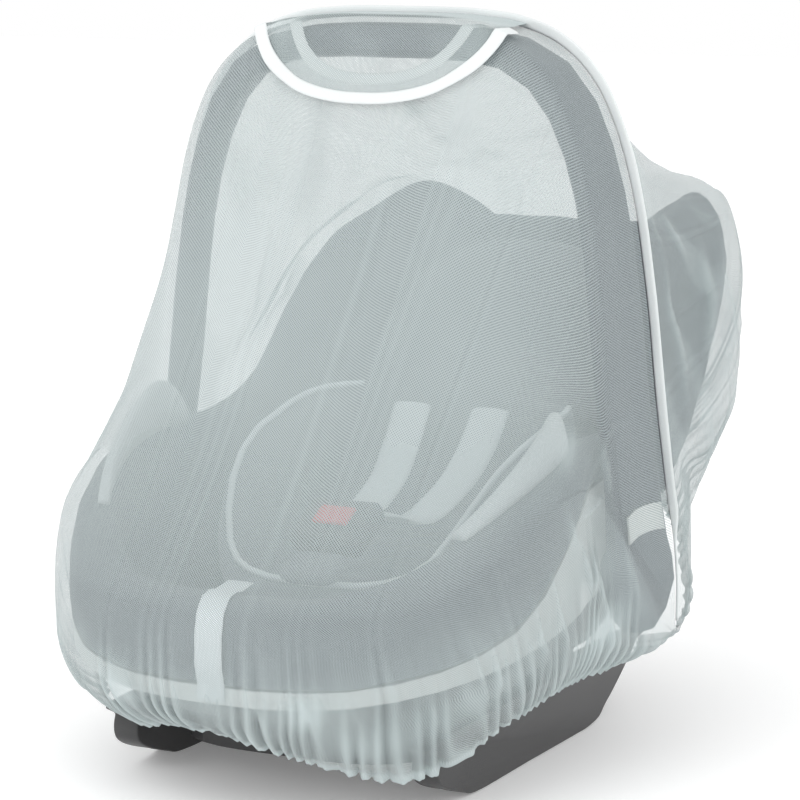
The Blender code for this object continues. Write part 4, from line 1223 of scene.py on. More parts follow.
@dataclass(frozen=True)
class Ruffle:
    """Gathers of the elastic hem.

    Attributes:
        count: Number of gathers along the hem.
        depth: How far a full gather stands out, in metres.
        slant: How many gathers the lobes lean over on their way down.
        seed: Seed of their unevenness.
    """

    count: int
    depth: float
    slant: float
    seed: int

    SPARE: ClassVar[int] = 8
    LEAN_PLACES: ClassVar[tuple[float, float]] = (0.21, 0.79)
    LEAN_REACH: ClassVar[float] = 0.13
    CRIMP_HEIGHT: ClassVar[float] = 0.0005
    CRIMPS_PER_GATHER: ClassVar[float] = 2.3

    def shape(self, fractions: Array, share: Array) -> tuple[Array, Array]:
        """Height and density of the gathers.

        Each gather is a round lobe between two pinches, with its own depth and reach. It is
        deepest at the hem and fades upwards. On both sides its foot leans towards the handle,
        and the hem itself is crimped a little finer.

        Args:
            fractions: Place along the hem, 0 to 1, shaped (columns,).
            share: Place down the skirt, 0 at the rim and 1 at the hem, shaped (rows,).

        Returns:
            Outward shift and extra thread, both shaped (rows, columns).
        """
        rng = np.random.default_rng(self.seed)
        knots = np.arange(self.count + 2 * self.SPARE)
        depths = rng.uniform(0.30, 1.0, len(knots))
        reaches = rng.uniform(0.25, 0.85, len(knots))
        warp = sum(rng.uniform(0.10, 0.35) * np.sin(2 * np.pi * k * fractions + rng.uniform(0, 6))
                   for k in (4, 9, 17))
        near, far = (np.exp(-((fractions - place) / self.LEAN_REACH) ** 2)
                     for place in self.LEAN_PLACES)
        place = ((self.count * fractions + warp)[None, :]
                 + (self.slant * (near - far))[None, :] * share[:, None])
        depth = np.interp(place + self.SPARE, knots, depths)
        reach = np.interp(place + self.SPARE, knots, reaches)
        ridge = np.abs(np.sin(np.pi * place)) ** 0.8
        rise = np.exp(-((1 - share[:, None]) / reach) ** 2)
        ends = smooth_step(np.minimum(fractions, 1 - fractions) / 0.02)[None, :]
        crimp = (self.CRIMP_HEIGHT * np.sin(2 * np.pi * self.CRIMPS_PER_GATHER * place)
                 * smooth_step((share[:, None] - 0.9) / 0.08))
        height = (self.depth * depth * (ridge - 0.55) * rise + crimp) * ends
        density = ridge ** 6 * rise * depth * ends
        return height, density


@dataclass(frozen=True)
class Crease:
    """Soft ridge or trough in a panel, laid one by one.

    Attributes:
        places: Knots as (fraction across, key row) pairs.
        width: Half its width, in metres.
        height: Rise at its middle, in metres; a trough is negative.
    """

    places: tuple[tuple[float, float], ...]
    width: float
    height: float


class NetPanels:
    """The sheer panels, the flap, their bindings and the seam tape."""

    # spots where the front panel lies bunched: across, along, up and reach, in metres
    BUNCHED = (
        (0.214, -0.101, 0.118, 0.020),
        (-0.214, -0.101, 0.118, 0.020),
        (-0.078, -0.329, 0.090, 0.016),
        (0.078, -0.329, 0.090, 0.014),
    )
    FRONT_COLUMNS = 960
    REAR_COLUMNS = 720

    def __init__(self, net: NetForm, painter: Painter) -> None:
        """Build on a form of the net."""
        self.net = net
        self.painter = painter

    def build(self) -> None:
        """Model every piece of the net."""
        front = self._front_panel()
        rear = self._rear_panel()
        flap = self._flap()
        opening_binding = self._opening_binding()
        flap_binding = self._flap_binding()
        seam = self._seam_tape()

    def _finish(self, thing: bpy.types.Object, finish: str, node: str) -> bpy.types.Object:
        """Paint a piece, tie it to the body and let it stand for its node."""
        self.painter.paint(thing, finish)
        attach(thing, "root")
        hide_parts(node)
        return thing

    def _skirt(self, front: bool, fractions: Array, rim: Array) -> list[Array]:
        """Key rows of a panel from below the rim to the hem.

        Args:
            front: True for the front panel.
            fractions: Places from the near seam to the far one, 0 to 1.
            rim: Points of the panel's touch line on the rim.

        Returns:
            Rows of points, the hem last.
        """
        form = self.net
        clear = form.rim_clearance + 0.001
        from_end = np.minimum(fractions, 1 - fractions)
        slack = smooth_step(from_end / 0.03)
        behind = np.zeros_like(slack)
        if front:
            band = form.ring(True, fractions, clear, 0.034)
            tuck = -0.024 - 0.014 * np.exp(-((fractions - 0.62) / 0.10) ** 2)
            hem = form.ring(True, fractions, tuck, 0.0, 0.020)
            hem[:, 2] = smooth_table(fractions, *FRONT_HEM.T)
            bulges = ((0.50, 0.004, 0.004),)
        else:
            slack = smooth_step((from_end - 0.04) / 0.14)
            behind = smooth_step((from_end - 0.30) / 0.12)
            band = form.ring(False, fractions, clear, 0.034, taper=0.9)
            hem = form.ring(False, fractions, 0.0045, 0.0, 0.014, 1.0)
            hem[:, 2] = smooth_table(fractions, *REAR_HEM.T)
            band[:, 2] = hem[:, 2] + 0.004 + 0.030 * smooth_step(from_end / 0.10)
            bulges = REAR_BULGES
        outward = unit(hem[:, :2])
        if not front:
            band[:, :2] += 0.012 * outward * (slack * (1 - 0.6 * behind))[:, None]
        ends = smooth_step(from_end / 0.03)
        belly = 0.0105 if front else 0.006
        rows = []
        for share, beside, at_back in bulges:
            row = rim + (band - rim) * share
            bulge = (beside + (at_back - beside) * behind) * slack
            row[:, :2] += outward * bulge[:, None]
            rows.append(row)
        rows.append(band)
        for share in (0.34, 0.67, 1.0):
            row = band + (hem - band) * share
            row[:, :2] += outward * (belly * np.sin(0.85 * np.pi * share) * ends)[:, None]
            row[:, 2] -= 0.0025 * share * ends
            rows.append(row)
        return rows

    @staticmethod
    def _places(rows: Sequence[Array]) -> Array:
        """Mean distance down the cloth of each key row."""
        steps = [np.linalg.norm(b - a, axis=1).mean() for a, b in zip(rows, rows[1:])]
        return np.concatenate([[0.0], np.cumsum(steps)])

    @staticmethod
    def _normals(grid: Array) -> Array:
        """Outward unit normals of a grid."""
        normal = unit(np.cross(np.gradient(grid, axis=1), np.gradient(grid, axis=0)))
        outward = grid - SEAT_CORE
        sign = np.sign((normal * outward).sum(axis=-1).mean())
        return normal * sign

    @staticmethod
    def _crease(grid: Array, key_places: Array, rows_at: Array, crease: Crease) -> Array:
        """Share of a crease at each point, fading off its line and towards its two ends.

        Args:
            grid: Points of the panel.
            key_places: Distance down the cloth of each key row.
            rows_at: Distance down the cloth of each row of the grid.
            crease: The crease.

        Returns:
            0 to 1 at each point.
        """
        line = []
        columns = grid.shape[1]
        for across, key in crease.places:
            down = np.interp(key, np.arange(len(key_places)), key_places)
            row = int(np.clip(np.searchsorted(rows_at, down), 0, len(grid) - 1))
            line.append(grid[row, int(round(across * (columns - 1)))])
        line = resample(np.array(line), np.linspace(0.0, 1.0, 25))
        best = np.full(grid.shape[:2], 9.0)
        at = np.zeros(grid.shape[:2])
        for index, point in enumerate(line):
            away = np.linalg.norm(grid - point, axis=2)
            closer = away < best
            best = np.where(closer, away, best)
            at = np.where(closer, index / 24.0, at)
        fade = np.sin(np.pi * np.clip(0.04 + 0.92 * at, 0.0, 1.0)) ** 0.7
        return fade * np.exp(-(best / crease.width) ** 2)

    FRONT_CREASES: tuple[Crease, ...] = (
        # ridges that run down beside the handle's foot into the hem
        Crease(((0.264, 9.1), (0.255, 9.9), (0.223, 12.5)), 0.0042, 0.0050),
        Crease(((0.219, 8.8), (0.209, 9.6), (0.166, 12.3)), 0.0046, 0.0060),
        Crease(((0.197, 8.7), (0.184, 9.5), (0.152, 11.6)), 0.0040, 0.0055),
        Crease(((0.136, 8.9), (0.119, 9.5), (0.088, 11.4)), 0.0045, 0.0055),
        Crease(((0.283, 9.0), (0.258, 10.8)), 0.0040, 0.0045),
        Crease(((0.184, 7.1), (0.164, 8.8)), 0.0070, 0.0040),
        Crease(((0.161, 8.4), (0.134, 9.5)), 0.0050, 0.0045),
        Crease(((0.089, 8.1), (0.070, 9.0)), 0.0060, 0.0025),
        # short slanting crease beside the foot
        Crease(((0.120, 5.2), (0.158, 8.3)), 0.0045, 0.0050),
        # long soft folds from the rim of the seat up to the handle
        Crease(((0.150, 2.3), (0.109, 4.9)), 0.0090, 0.0030),
        Crease(((0.198, 3.4), (0.194, 6.0)), 0.0110, 0.0035),
        Crease(((0.230, 4.0), (0.235, 7.8)), 0.0120, -0.0030),
        Crease(((0.820, 0.8), (0.790, 4.5), (0.730, 7.2)), 0.0120, 0.0030),
        Crease(((0.860, 1.2), (0.840, 5.0)), 0.0100, 0.0025),
        Crease(((0.700, 7.3), (0.650, 8.3)), 0.0090, 0.0030),
        # ridges that lean into the ruffle along the foot end
        Crease(((0.325, 9.6), (0.295, 11.9)), 0.0038, 0.0042),
        Crease(((0.345, 9.6), (0.323, 12.0)), 0.0034, 0.0036),
        Crease(((0.380, 9.6), (0.358, 12.1)), 0.0038, 0.0042),
        Crease(((0.419, 9.5), (0.400, 11.5)), 0.0034, 0.0034),
        Crease(((0.459, 9.5), (0.442, 11.4)), 0.0038, 0.0040),
        Crease(((0.498, 9.5), (0.492, 11.7)), 0.0034, 0.0036),
        Crease(((0.548, 9.5), (0.562, 12.5)), 0.0040, 0.0040),
        Crease(((0.600, 9.4), (0.610, 12.4)), 0.0036, 0.0036),
        Crease(((0.680, 9.2), (0.690, 12.0)), 0.0040, 0.0042),
        Crease(((0.760, 9.0), (0.765, 12.0)), 0.0042, 0.0040),
        Crease(((0.850, 8.8), (0.845, 12.0)), 0.0045, 0.0045),
    )
    REAR_CREASES: tuple[Crease, ...] = (
        # soft folds that hang from the seam behind the near leg
        Crease(((0.264, 3.0), (0.177, 4.3), (0.102, 5.5)), 0.0080, 0.0040),
        Crease(((0.307, 4.4), (0.234, 5.2)), 0.0090, 0.0035),
        Crease(((0.268, 6.0), (0.180, 7.2), (0.114, 7.7)), 0.0075, 0.0045),
        Crease(((0.211, 7.6), (0.166, 8.7), (0.109, 8.7)), 0.0065, 0.0040),
        Crease(((0.093, 5.3), (0.098, 12.0)), 0.0060, 0.0040),
        Crease(((0.320, 2.9), (0.255, 3.2)), 0.0080, 0.0025),
        Crease(((0.150, 9.5), (0.130, 13.0)), 0.0055, 0.0045),
        Crease(((0.210, 9.4), (0.190, 13.2)), 0.0060, 0.0050),
        # the same on the far side and behind the head end
        Crease(((0.736, 3.0), (0.820, 4.4), (0.898, 5.6)), 0.0080, 0.0040),
        Crease(((0.732, 6.0), (0.820, 7.2), (0.886, 7.7)), 0.0075, 0.0045),
        Crease(((0.790, 7.6), (0.830, 8.7), (0.890, 8.7)), 0.0065, 0.0040),
        Crease(((0.850, 9.5), (0.870, 13.0)), 0.0055, 0.0045),
        Crease(((0.360, 9.0), (0.350, 13.0)), 0.0065, 0.0050),
        Crease(((0.440, 8.6), (0.450, 12.6)), 0.0070, 0.0045),
        Crease(((0.530, 8.8), (0.520, 13.0)), 0.0065, 0.0050),
        Crease(((0.610, 9.0), (0.620, 12.8)), 0.0065, 0.0045),
        Crease(((0.460, 1.5), (0.420, 6.5)), 0.0110, 0.0030),
        Crease(((0.560, 1.2), (0.600, 6.8)), 0.0110, 0.0030),
    )

    def _front_panel(self) -> bpy.types.Object:
        """Front panel: from the seam down over the foot end, round the hand opening."""
        form = self.net
        fractions = np.linspace(0.0, 1.0, self.FRONT_COLUMNS + 1)
        start = form.opening_drop(fractions)
        _, length, bar = form.front(fractions, start)
        from_end = np.minimum(fractions, 1 - fractions)
        turn = np.maximum(bar, start + 0.010 * smooth_step(from_end / 0.09))
        upper = [form.front(fractions, start)[0]]
        for share in (0.5, 1.0):
            upper.append(form.front(fractions, start + (turn - start) * share)[0])
        spans = [form.front(fractions, turn + (length - turn) * share)[0]
                 for share in np.linspace(0.0, 1.0, 9)[1:]]
        skirt = self._skirt(True, fractions, spans[-1])
        keys = upper[-1:] + spans + skirt
        places = self._places(keys)
        rim_at = places[8]
        wanted = np.concatenate([np.linspace(0.0, rim_at, 46)[:-1],
                                 np.linspace(rim_at, places[-1], 54)])
        lower = smooth_rows(np.stack(keys), places, wanted)
        share = np.clip((wanted - rim_at) / (places[-1] - rim_at), 0.0, 1.0)
        height, density = Ruffle(78, 0.0078, 4.3, 11).shape(fractions, share)
        density = density * 0.75 + 0.50 * smooth_step((share[:, None] - 0.90) / 0.06)
        below = smooth_step(share[:, None] / 0.6)
        density = density + 0.27 * below * (0.6 + 0.4 * soft_noise(lower, 0.03, 77))
        down = np.clip(wanted / rim_at, 0.0, 1.0)[:, None]
        beside_foot = np.exp(-((fractions - 0.10) / 0.075) ** 2)[None, :]
        density = density + 0.15 * beside_foot * smooth_step((down - 0.72) / 0.22)
        slack = smooth_step((fractions - 0.06) / 0.30)[None, :]
        density = density + 0.38 * slack * np.sin(np.pi * np.clip(down, 0.0, 1.0)) ** 0.6
        for x, y, z, reach in self.BUNCHED:
            away = np.linalg.norm(lower - np.array([x, y + AXIS_SHIFT, z]), axis=2)
            density = density + 0.50 * np.exp(-(away / reach) ** 2)
        lower, cover = self._creased(lower, places, wanted, height, density,
                                     self.FRONT_CREASES)
        grid = np.concatenate([np.stack(upper[:-1]), lower], axis=0)
        cover = np.concatenate([np.zeros((len(upper) - 1, len(fractions))), cover], axis=0)
        panel = MeshKit.sheet("front_net", grid, cover=np.clip(cover, 0.0, 0.9))
        return self._finish(panel, "net", "net_front_panel")

    def _creased(self, grid: Array, places: Array, wanted: Array, height: Array,
                 density: Array, creases: Iterable[Crease]) -> tuple[Array, Array]:
        """Move a panel's points along its normals and thicken its threads.

        Args:
            grid: Points of the panel.
            places: Distance down the cloth of each key row.
            wanted: Distance down the cloth of each row of the grid.
            height: Outward shift of the gathers.
            density: Extra thread of the gathers.
            creases: Creases to lay.

        Returns:
            The moved points and the extra thread at each.
        """
        normal = self._normals(grid)
        down = wanted[:, None] / wanted[-1]
        shift = height + 0.0007 * soft_noise(grid, 0.045, 21) * np.sin(np.pi * down)
        cover = density.copy()
        for crease in creases:
            share = self._crease(grid, places, wanted, crease)
            shift = shift + crease.height * share
            cover = cover + 0.42 * max(crease.height, 0.0) / 0.0045 * share ** 2
        return grid + normal * shift[:, :, None], cover

    def _rear_panel(self) -> bpy.types.Object:
        """Rear panel: from the seam back over the head end and down to the hem."""
        form = self.net
        fractions = np.linspace(0.0, 1.0, self.REAR_COLUMNS + 1)
        seam = form.seam_line(fractions)
        seam[:, 1] += form.rear_gap
        rim = form.rear_rim_line(fractions)
        sag = form.rear_sag(fractions)[:, None]
        keys = []
        for share in np.linspace(0.0, 1.0, 9):
            shares = np.full((len(fractions), 1), share)
            keys.append(form.span(seam, rim, shares, sag))
        keys += self._skirt(False, fractions, rim)
        places = self._places(keys)
        rim_at = places[8]
        wanted = np.concatenate([np.linspace(0.0, rim_at, 50)[:-1],
                                 np.linspace(rim_at, places[-1], 56)])
        grid = smooth_rows(np.stack(keys), places, wanted)
        share = np.clip((wanted - rim_at) / (places[-1] - rim_at), 0.0, 1.0)
        height, density = Ruffle(66, 0.0072, 0.0, 12).shape(fractions, share)
        ends = smooth_step(np.minimum(fractions, 1 - fractions) / 0.05)[None, :]
        fold = np.sin(2 * np.pi * 13 * fractions + 1.7 * np.sin(2 * np.pi * 2 * fractions))
        height = height + 0.0016 * fold[None, :] * ends * np.sin(np.pi * np.clip(
            wanted[:, None] / rim_at, 0.0, 1.0))
        density = density * 0.75 + 0.50 * smooth_step((share[:, None] - 0.90) / 0.06)
        broad = soft_noise(grid * np.array([1.0, 1.0, 0.35]), 0.022, 78)
        density = density + (0.06 + 0.20 * np.clip(broad, 0.0, 1.0)) * ends
        grid, cover = self._creased(grid, places, wanted, height, density, self.REAR_CREASES)
        panel = MeshKit.sheet("rear_net", grid, cover=np.clip(cover, 0.0, 0.9))
        return self._finish(panel, "net", "net_rear_panel")

    def _flap(self) -> bpy.types.Object:
        """Half-moon flap that hangs from the seam over the hand opening."""
        form = self.net
        turns = np.linspace(math.radians(14), math.pi - math.radians(10), 161)
        edge = form.bound_edge(turns, form.flap_half_width, form.flap_depth)
        bar = form.front(0.5 - edge[:, 0] / form.handle.length(), 0.0)[2]
        turn = np.minimum(bar, 0.8 * edge[:, 1])
        rows = []
        for share in np.linspace(0.0, 1.0, 9):
            rows.append(form.on_front(np.column_stack([edge[:, 0], turn * share]), 0.0042))
        for share in np.linspace(0.0, 1.0, 17)[1:]:
            down = turn + (edge[:, 1] - turn) * share
            ripple = 0.0042 + 0.0010 * share * np.sin(edge[:, 0] * 190.0 + 1.0) ** 2
            rows.append(form.on_front(np.column_stack([edge[:, 0], down]), ripple))
        grid = np.stack(rows)
        cover = 0.10 * np.clip(soft_noise(grid, 0.02, 5), 0.0, 1.0)
        sewn_in = 1 - smooth_step((np.arange(len(grid)) - 5.0) / 4.0)
        cover = np.maximum(cover, 0.85 * sewn_in[:, None])
        flap = MeshKit.sheet("hand_flap", grid, cover=cover)
        return self._finish(flap, "net", "net_flap")

    def _strip(self, edge: Array, near: float, far: float, lift: float) -> list[Array]:
        """Rows of a binding, side by side along an edge laid on the front panel.

        Args:
            edge: Flat places of the edge.
            near: Distance of the first row from the edge.
            far: Distance of the last row from the edge.
            lift: Distance off the front panel.

        Returns:
            Rows of points.
        """
        tangent = unit(np.gradient(edge, axis=0))
        normal = np.stack([-tangent[:, 1], tangent[:, 0]], axis=1)
        normal *= np.sign(normal[:, 1].sum())
        return [self.net.on_front(edge + normal * width, lift)
                for width in np.linspace(near, far, 7)]

    def _flap_binding(self) -> bpy.types.Object:
        """Tape folded round the flap's free edge."""
        form = self.net
        turns = np.linspace(math.radians(14), math.pi - math.radians(8), 181)
        edge = form.bound_edge(turns, form.flap_half_width, form.flap_depth)
        tape = MeshKit.tape("flap_edge_tape", self._strip(edge, 0.0002, 0.0100, 0.0050), 0.0018)
        return self._finish(tape, "binding", "flap_binding")

    def _opening_binding(self) -> bpy.types.Object:
        """Tape folded round the edge of the hand opening."""
        form = self.net
        turns = np.linspace(math.radians(12), math.pi - math.radians(12), 161)
        edge = form.bound_edge(turns, form.opening_half_width, form.opening_depth)
        rows = self._strip(edge, -0.0002, -0.0100, 0.0)
        tape = MeshKit.tape("opening_edge_tape", rows, 0.0015)
        return self._finish(tape, "binding", "opening_binding")

    def _seam_tape(self) -> bpy.types.Object:
        """Bound seam over the handle, a fin that stands off its rear edge."""
        fractions = np.linspace(0.004, 0.996, 361)
        rows = []
        for height in np.linspace(0.0, 0.009, 7):
            from_foot = np.minimum(fractions, 1 - fractions)
            narrow = 1 - 0.72 * smooth_step((0.082 - from_foot) / 0.030)
            row = self.net.seam_line(fractions, height * narrow)
            wave = 0.0006 * soft_noise(row * np.array([1.0, 0.0, 1.0]), 0.03, 31)
            row[:, 1] += wave * height / 0.009
            rows.append(row)
        tape = MeshKit.tape("seam_binding", rows, 0.0019)
        return self._finish(tape, "binding", "seam_tape")


# The seat


class SeatSoftGoods:
    """Padded cover, inlay, pads, straps and light lining of the seat."""

    LOOP = 208

    def __init__(self, seat: SeatForm, painter: Painter) -> None:
        """Build on a form of the seat."""
        self.seat = seat
        self.painter = painter

    def build(self) -> None:
        """Model every soft piece of the seat."""
        self._cover()
        self._inlay()
        self._inlay_piping()
        self._head_pad()
        self._crotch_pad()
        self._wings()
        self._harness()
        self._adjuster_strap()

    def _finish(self, thing: bpy.types.Object, finish: str, node: str,
                fill: Optional[float] = None) -> bpy.types.Object:
        """Paint a piece and let it stand for its node; fill, given for a padded one, is not used.
        """
        self.painter.paint(thing, finish)
        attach(thing, "root")
        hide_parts(node)
        return thing

    def _cover(self) -> None:
        """Padded cover: up the outside, over the rim and down into the seat."""
        seat = self.seat
        count = self.LOOP

        def wall(along: Array) -> Array:
            """Height half way down the inside."""
            return 0.55 * seat.rim_top(along) + 0.45 * seat.floor(along)

        rings = [
            seat.joint_ring(count, 0.085, seat.underside),
            seat.joint_ring(count, 0.064, seat.underside),
            seat.joint_ring(count, 0.0235, seat.level(0.0)),
            seat.joint_ring(count, 0.003, seat.level(0.0)),
            seat.ring(count, -0.001, seat.level(0.25), 0.72),
            seat.ring(count, -0.001, seat.level(0.60), 0.25),
            seat.rim_ring(count, 0.002, seat.level(0.86), 0.03),
            seat.rim_ring(count, 0.010, seat.level(0.985)),
            seat.rim_ring(count, 0.019, seat.level(1.0, 0.0005)),
            seat.rim_ring(count, 0.028, seat.level(0.95)),
            seat.ring(count, 0.040, wall, 0.117, True),
            seat.ring(count, 0.062, lambda along: seat.floor(along) + 0.012, 0.234, True),
            seat.ring(count, 0.092, seat.floor, 0.352, True),
        ]
        cover = MeshKit.pad("padded_cover", rings, 72)

        def folds(points: Array) -> Array:
            """Slight slackness of the cover."""
            return 0.0009 * soft_noise(points, 0.026, 41) - 0.0009

        MeshKit.swell(cover, folds)
        self._finish(cover, "cover", "seat_cover", 0.8)

    def _inlay_ring(self, scale: float, heights: Callable[[Array, Array], Array],
                    count: int) -> Array:
        """Loop of the inlay, shrunk about its middle.

        Args:
            scale: Size against the inlay's full outline.
            heights: Reads the height from the floor's and the edge's heights.
            count: Number of points.

        Returns:
            Points shaped (count, 3).
        """
        middle = 0.040
        across, along = oval_loop(0.124, 0.195, 0.092, middle, 3.0, count)
        rim = smooth_table(along, *INSERT_RIM.T)
        across = across * scale
        along = middle + (along - middle) * scale
        return np.stack([across, along, heights(self.seat.floor(along), rim)], axis=1)

    def _inlay(self) -> None:
        """Padded seat inlay with a raised edge and sewn channels across its floor."""
        sections = (
            (0.72, lambda floor, rim: floor + 0.0012),
            (0.92, lambda floor, rim: floor + 0.0112),
            (0.97, lambda floor, rim: 0.5 * (floor + rim)),
            (1.00, lambda floor, rim: rim - 0.010),
            (0.98, lambda floor, rim: rim - 0.002),
            (0.93, lambda floor, rim: rim - 0.001),
            (0.88, lambda floor, rim: rim - 0.012),
            (0.76, lambda floor, rim: 0.6 * floor + 0.4 * rim),
            (0.52, lambda floor, rim: floor + 0.022),
        )
        rings = [self._inlay_ring(scale, heights, 144) for scale, heights in sections]
        inlay = MeshKit.pad("padded_inlay", rings, 56, 8)

        def quilting(points: Array) -> Array:
            """Sewn channels across the inlay's floor, and slackness."""
            along = points[:, 1] + AXIS_SHIFT
            channel = np.exp(-((np.mod(along, 0.040) - 0.020) / 0.0035) ** 2)
            inside = 1 - smooth_step((np.abs(points[:, 0]) - 0.085) / 0.02)
            return -0.0022 * channel * inside + 0.0006 * soft_noise(points, 0.02, 43) - 0.0004

        MeshKit.swell(inlay, quilting)
        self._finish(inlay, "inlay", "seat_inlay", 0.7)

    def _inlay_piping(self) -> None:
        """Light piping round the top edge of the inlay, open behind."""
        loop = self._inlay_ring(0.955, lambda floor, rim: rim + 0.0032, 36)
        order = np.arange(-14, 12) % len(loop)
        path = resample(loop[order], np.linspace(0.0, 1.0, 180))
        piping = MeshKit.tube("inlay_edge_piping", round_loops(path, 0.0027, 12))
        self._finish(piping, "piping", "inlay_piping")

    def _head_pad(self) -> None:
        """Head support: an arched pad leaning on the back of the seat."""
        foot = np.array([0.0, 0.1604, 0.2102])
        lean = math.radians(53.0)
        up = np.array([0.0, math.cos(lean), math.sin(lean)])
        out = np.array([0.0, -math.sin(lean), math.cos(lean)])
        side = np.array([1.0, 0.0, 0.0])
        across, rise = oval_loop(0.122, 0.012, 0.172, 0.018, 2.6, 128)
        middle = 0.085
        rings = []
        for scale, depth in ((0.80, 0.0006), (0.96, 0.004), (1.0, 0.014), (0.96, 0.024),
                             (0.84, 0.030), (0.55, 0.026)):
            local = middle + (rise - middle) * scale
            rings.append(foot + side * (across * scale)[:, None] + up * local[:, None]
                         + out * depth)
        pad = MeshKit.pad("head_support", rings, 30, 6)

        def soft(points: Array) -> Array:
            """Slight slackness of the pad."""
            return 0.0007 * soft_noise(points, 0.03, 47) - 0.0006

        MeshKit.swell(pad, soft)
        self._finish(pad, "inlay", "head_pad", 0.75)

    def _crotch_pad(self) -> None:
        """Small pad under the buckle."""
        centre = np.array([0.0, -0.1402, 0.1589])
        self._rounded_pad("crotch_cushion", centre, (0.050, 0.0382, 0.0100), 20.0, "inlay",
                          "crotch_pad")

    def _rounded_pad(self, name: str, centre: Array, size: tuple[float, float, float],
                     tilt: float, finish: str, node: str) -> None:
        """Crowned pad on a rounded rectangle, tilted about the seat's width.

        Args:
            name: Name of the piece.
            centre: Its middle.
            size: Width, length and thickness.
            tilt: Tilt in degrees.
            finish: Key in FINISHES.
            node: Node that it stands for.
        """
        across, along = oval_loop(size[0] / 2, size[1] / 2, size[1] / 2, 0.0, 4.0, 64)
        turn = math.radians(tilt)
        rings = []
        for scale, share in ((0.70, -0.50), (0.92, -0.42), (1.0, -0.10), (0.98, 0.20),
                             (0.86, 0.42), (0.50, 0.50)):
            local_y = along * scale
            local_z = np.full(len(local_y), share * size[2])
            rings.append(np.stack([
                across * scale,
                centre[1] + local_y * math.cos(turn) - local_z * math.sin(turn),
                centre[2] + local_y * math.sin(turn) + local_z * math.cos(turn),
            ], axis=1))
        self._finish(MeshKit.pad(name, rings, 16, 4), finish, node, 0.6)

    def _wings(self) -> None:
        """Light padded edge on each long side of the rim, climbing towards the handle."""
        seat = self.seat
        width, inset, gap = 0.011, 0.024, 0.0001
        along = np.linspace(WING_RISE[0, 0], WING_RISE[-1, 0], 90)
        rounding = np.clip((along - WING_RISE[-1, 0] + 0.036) / 0.036, 0.0, 1.0)
        rise = smooth_table(along, *WING_RISE.T) * np.sqrt(1 - 0.94 * rounding ** 2)
        top = seat.rim_top(along)
        reach = (np.abs(along) / (seat.foot_reach - inset)) ** seat.foot_squareness
        across = (seat.half_width - inset) * (1 - reach) ** (1 / seat.foot_squareness)
        across *= 1 - seat.waist_depth * np.exp(-(along / seat.waist_spread) ** 2)
        turn = np.linspace(0.0, np.pi, 15)
        for side, name, node in ((1, "lining_near", "side_wing_near"),
                                 (-1, "lining_far", "side_wing_far")):
            loops = []
            for angle in turn:
                shift = 0.5 * math.copysign(abs(math.cos(angle)) ** 0.55, math.cos(angle))
                share = math.sin(angle) ** 0.5
                loops.append(np.stack([side * (across + shift * width), along,
                                       top + gap + share * rise], axis=1))
            piece = MeshKit.tube(name, np.stack(loops, axis=1))
            self._finish(piece, "lining", node, 0.7)

    def _harness(self) -> None:
        """Shoulder straps, flat webbing that bends over the inlay."""
        for side, name, node in ((1, "shoulder_strap_near", "harness_near"),
                                 (-1, "shoulder_strap_far", "harness_far")):
            route = np.array([
                (side * 0.022, -0.0762, 0.1926),
                (side * 0.026, -0.020, 0.178),
                (side * 0.030, 0.040, 0.195),
                (side * 0.034, 0.075, 0.220),
                (side * 0.036, 0.100, 0.250),
            ])
            at = np.linspace(0.0, 1.0, len(route))
            fine = np.linspace(0.0, 1.0, 90)
            path = np.stack([smooth_table(fine, at, column) for column in route.T], axis=1)
            rows = []
            for shift in np.linspace(-0.017, 0.017, 9):
                row = path + np.array([shift, 0.0, 0.0])
                row[:, 2] -= 0.0012 * (shift / 0.017) ** 2
                rows.append(row)
            strap = MeshKit.tape(name, rows, 0.0036)
            self._finish(strap, "webbing", node)

    def _adjuster_strap(self) -> None:
        """Light strap over the middle of the foot end's rim."""
        seat = self.seat
        stops = ((0.046, 0.90), (0.028, 0.95), (0.019, 1.0), (0.010, 0.985), (0.002, 0.86),
                 (-0.002, 0.60), (-0.002, 0.25), (0.002, 0.0), (0.001, -0.10), (0.002, -0.18))
        profile = []
        for inset, share in stops:
            along = -seat.foot_reach + inset
            profile.append((along, float(seat.level(share)(np.array([along]))[0])))
        coarse = np.array(profile)
        tangent = unit(np.gradient(coarse, axis=0))
        outer = coarse + 0.0016 * np.stack([tangent[:, 1], -tangent[:, 0]], axis=1)
        at = np.arange(len(outer), dtype=float)
        fine = np.linspace(0.0, at[-1], 80)
        line = np.stack([np.interp(fine, at, column) for column in outer.T], axis=1)
        rows = [np.column_stack([np.full(len(line), x), line])
                for x in np.linspace(-0.0115, 0.0115, 9)]
        strap = MeshKit.tape("adjuster_webbing", rows, 0.0012)
        self._finish(strap, "webbing", "adjuster_strap")


def oval_loop(half_width: float, front: float, rear: float, middle: float, squareness: float,
              count: int) -> tuple[Array, Array]:
    """Mirror-symmetric closed outline in plan, from its front tip round the near side.

    Args:
        half_width: Half its width.
        front: Reach in front of its middle.
        rear: Reach behind its middle.
        middle: Place of its middle along the seat.
        squareness: Power of the outline, 2 for an ellipse.
        count: Number of points.

    Returns:
        Places across and along.
    """
    turn = np.pi / 2 - 2 * np.pi * np.arange(count) / count
    cosine = np.cos(turn)
    sine = np.sin(turn)
    across = half_width * np.sign(cosine) * np.abs(cosine) ** (2 / squareness)
    reach = np.where(sine > 0, front, rear)
    along = middle - np.sign(sine) * reach * np.abs(sine) ** (2 / squareness)
    return across, along


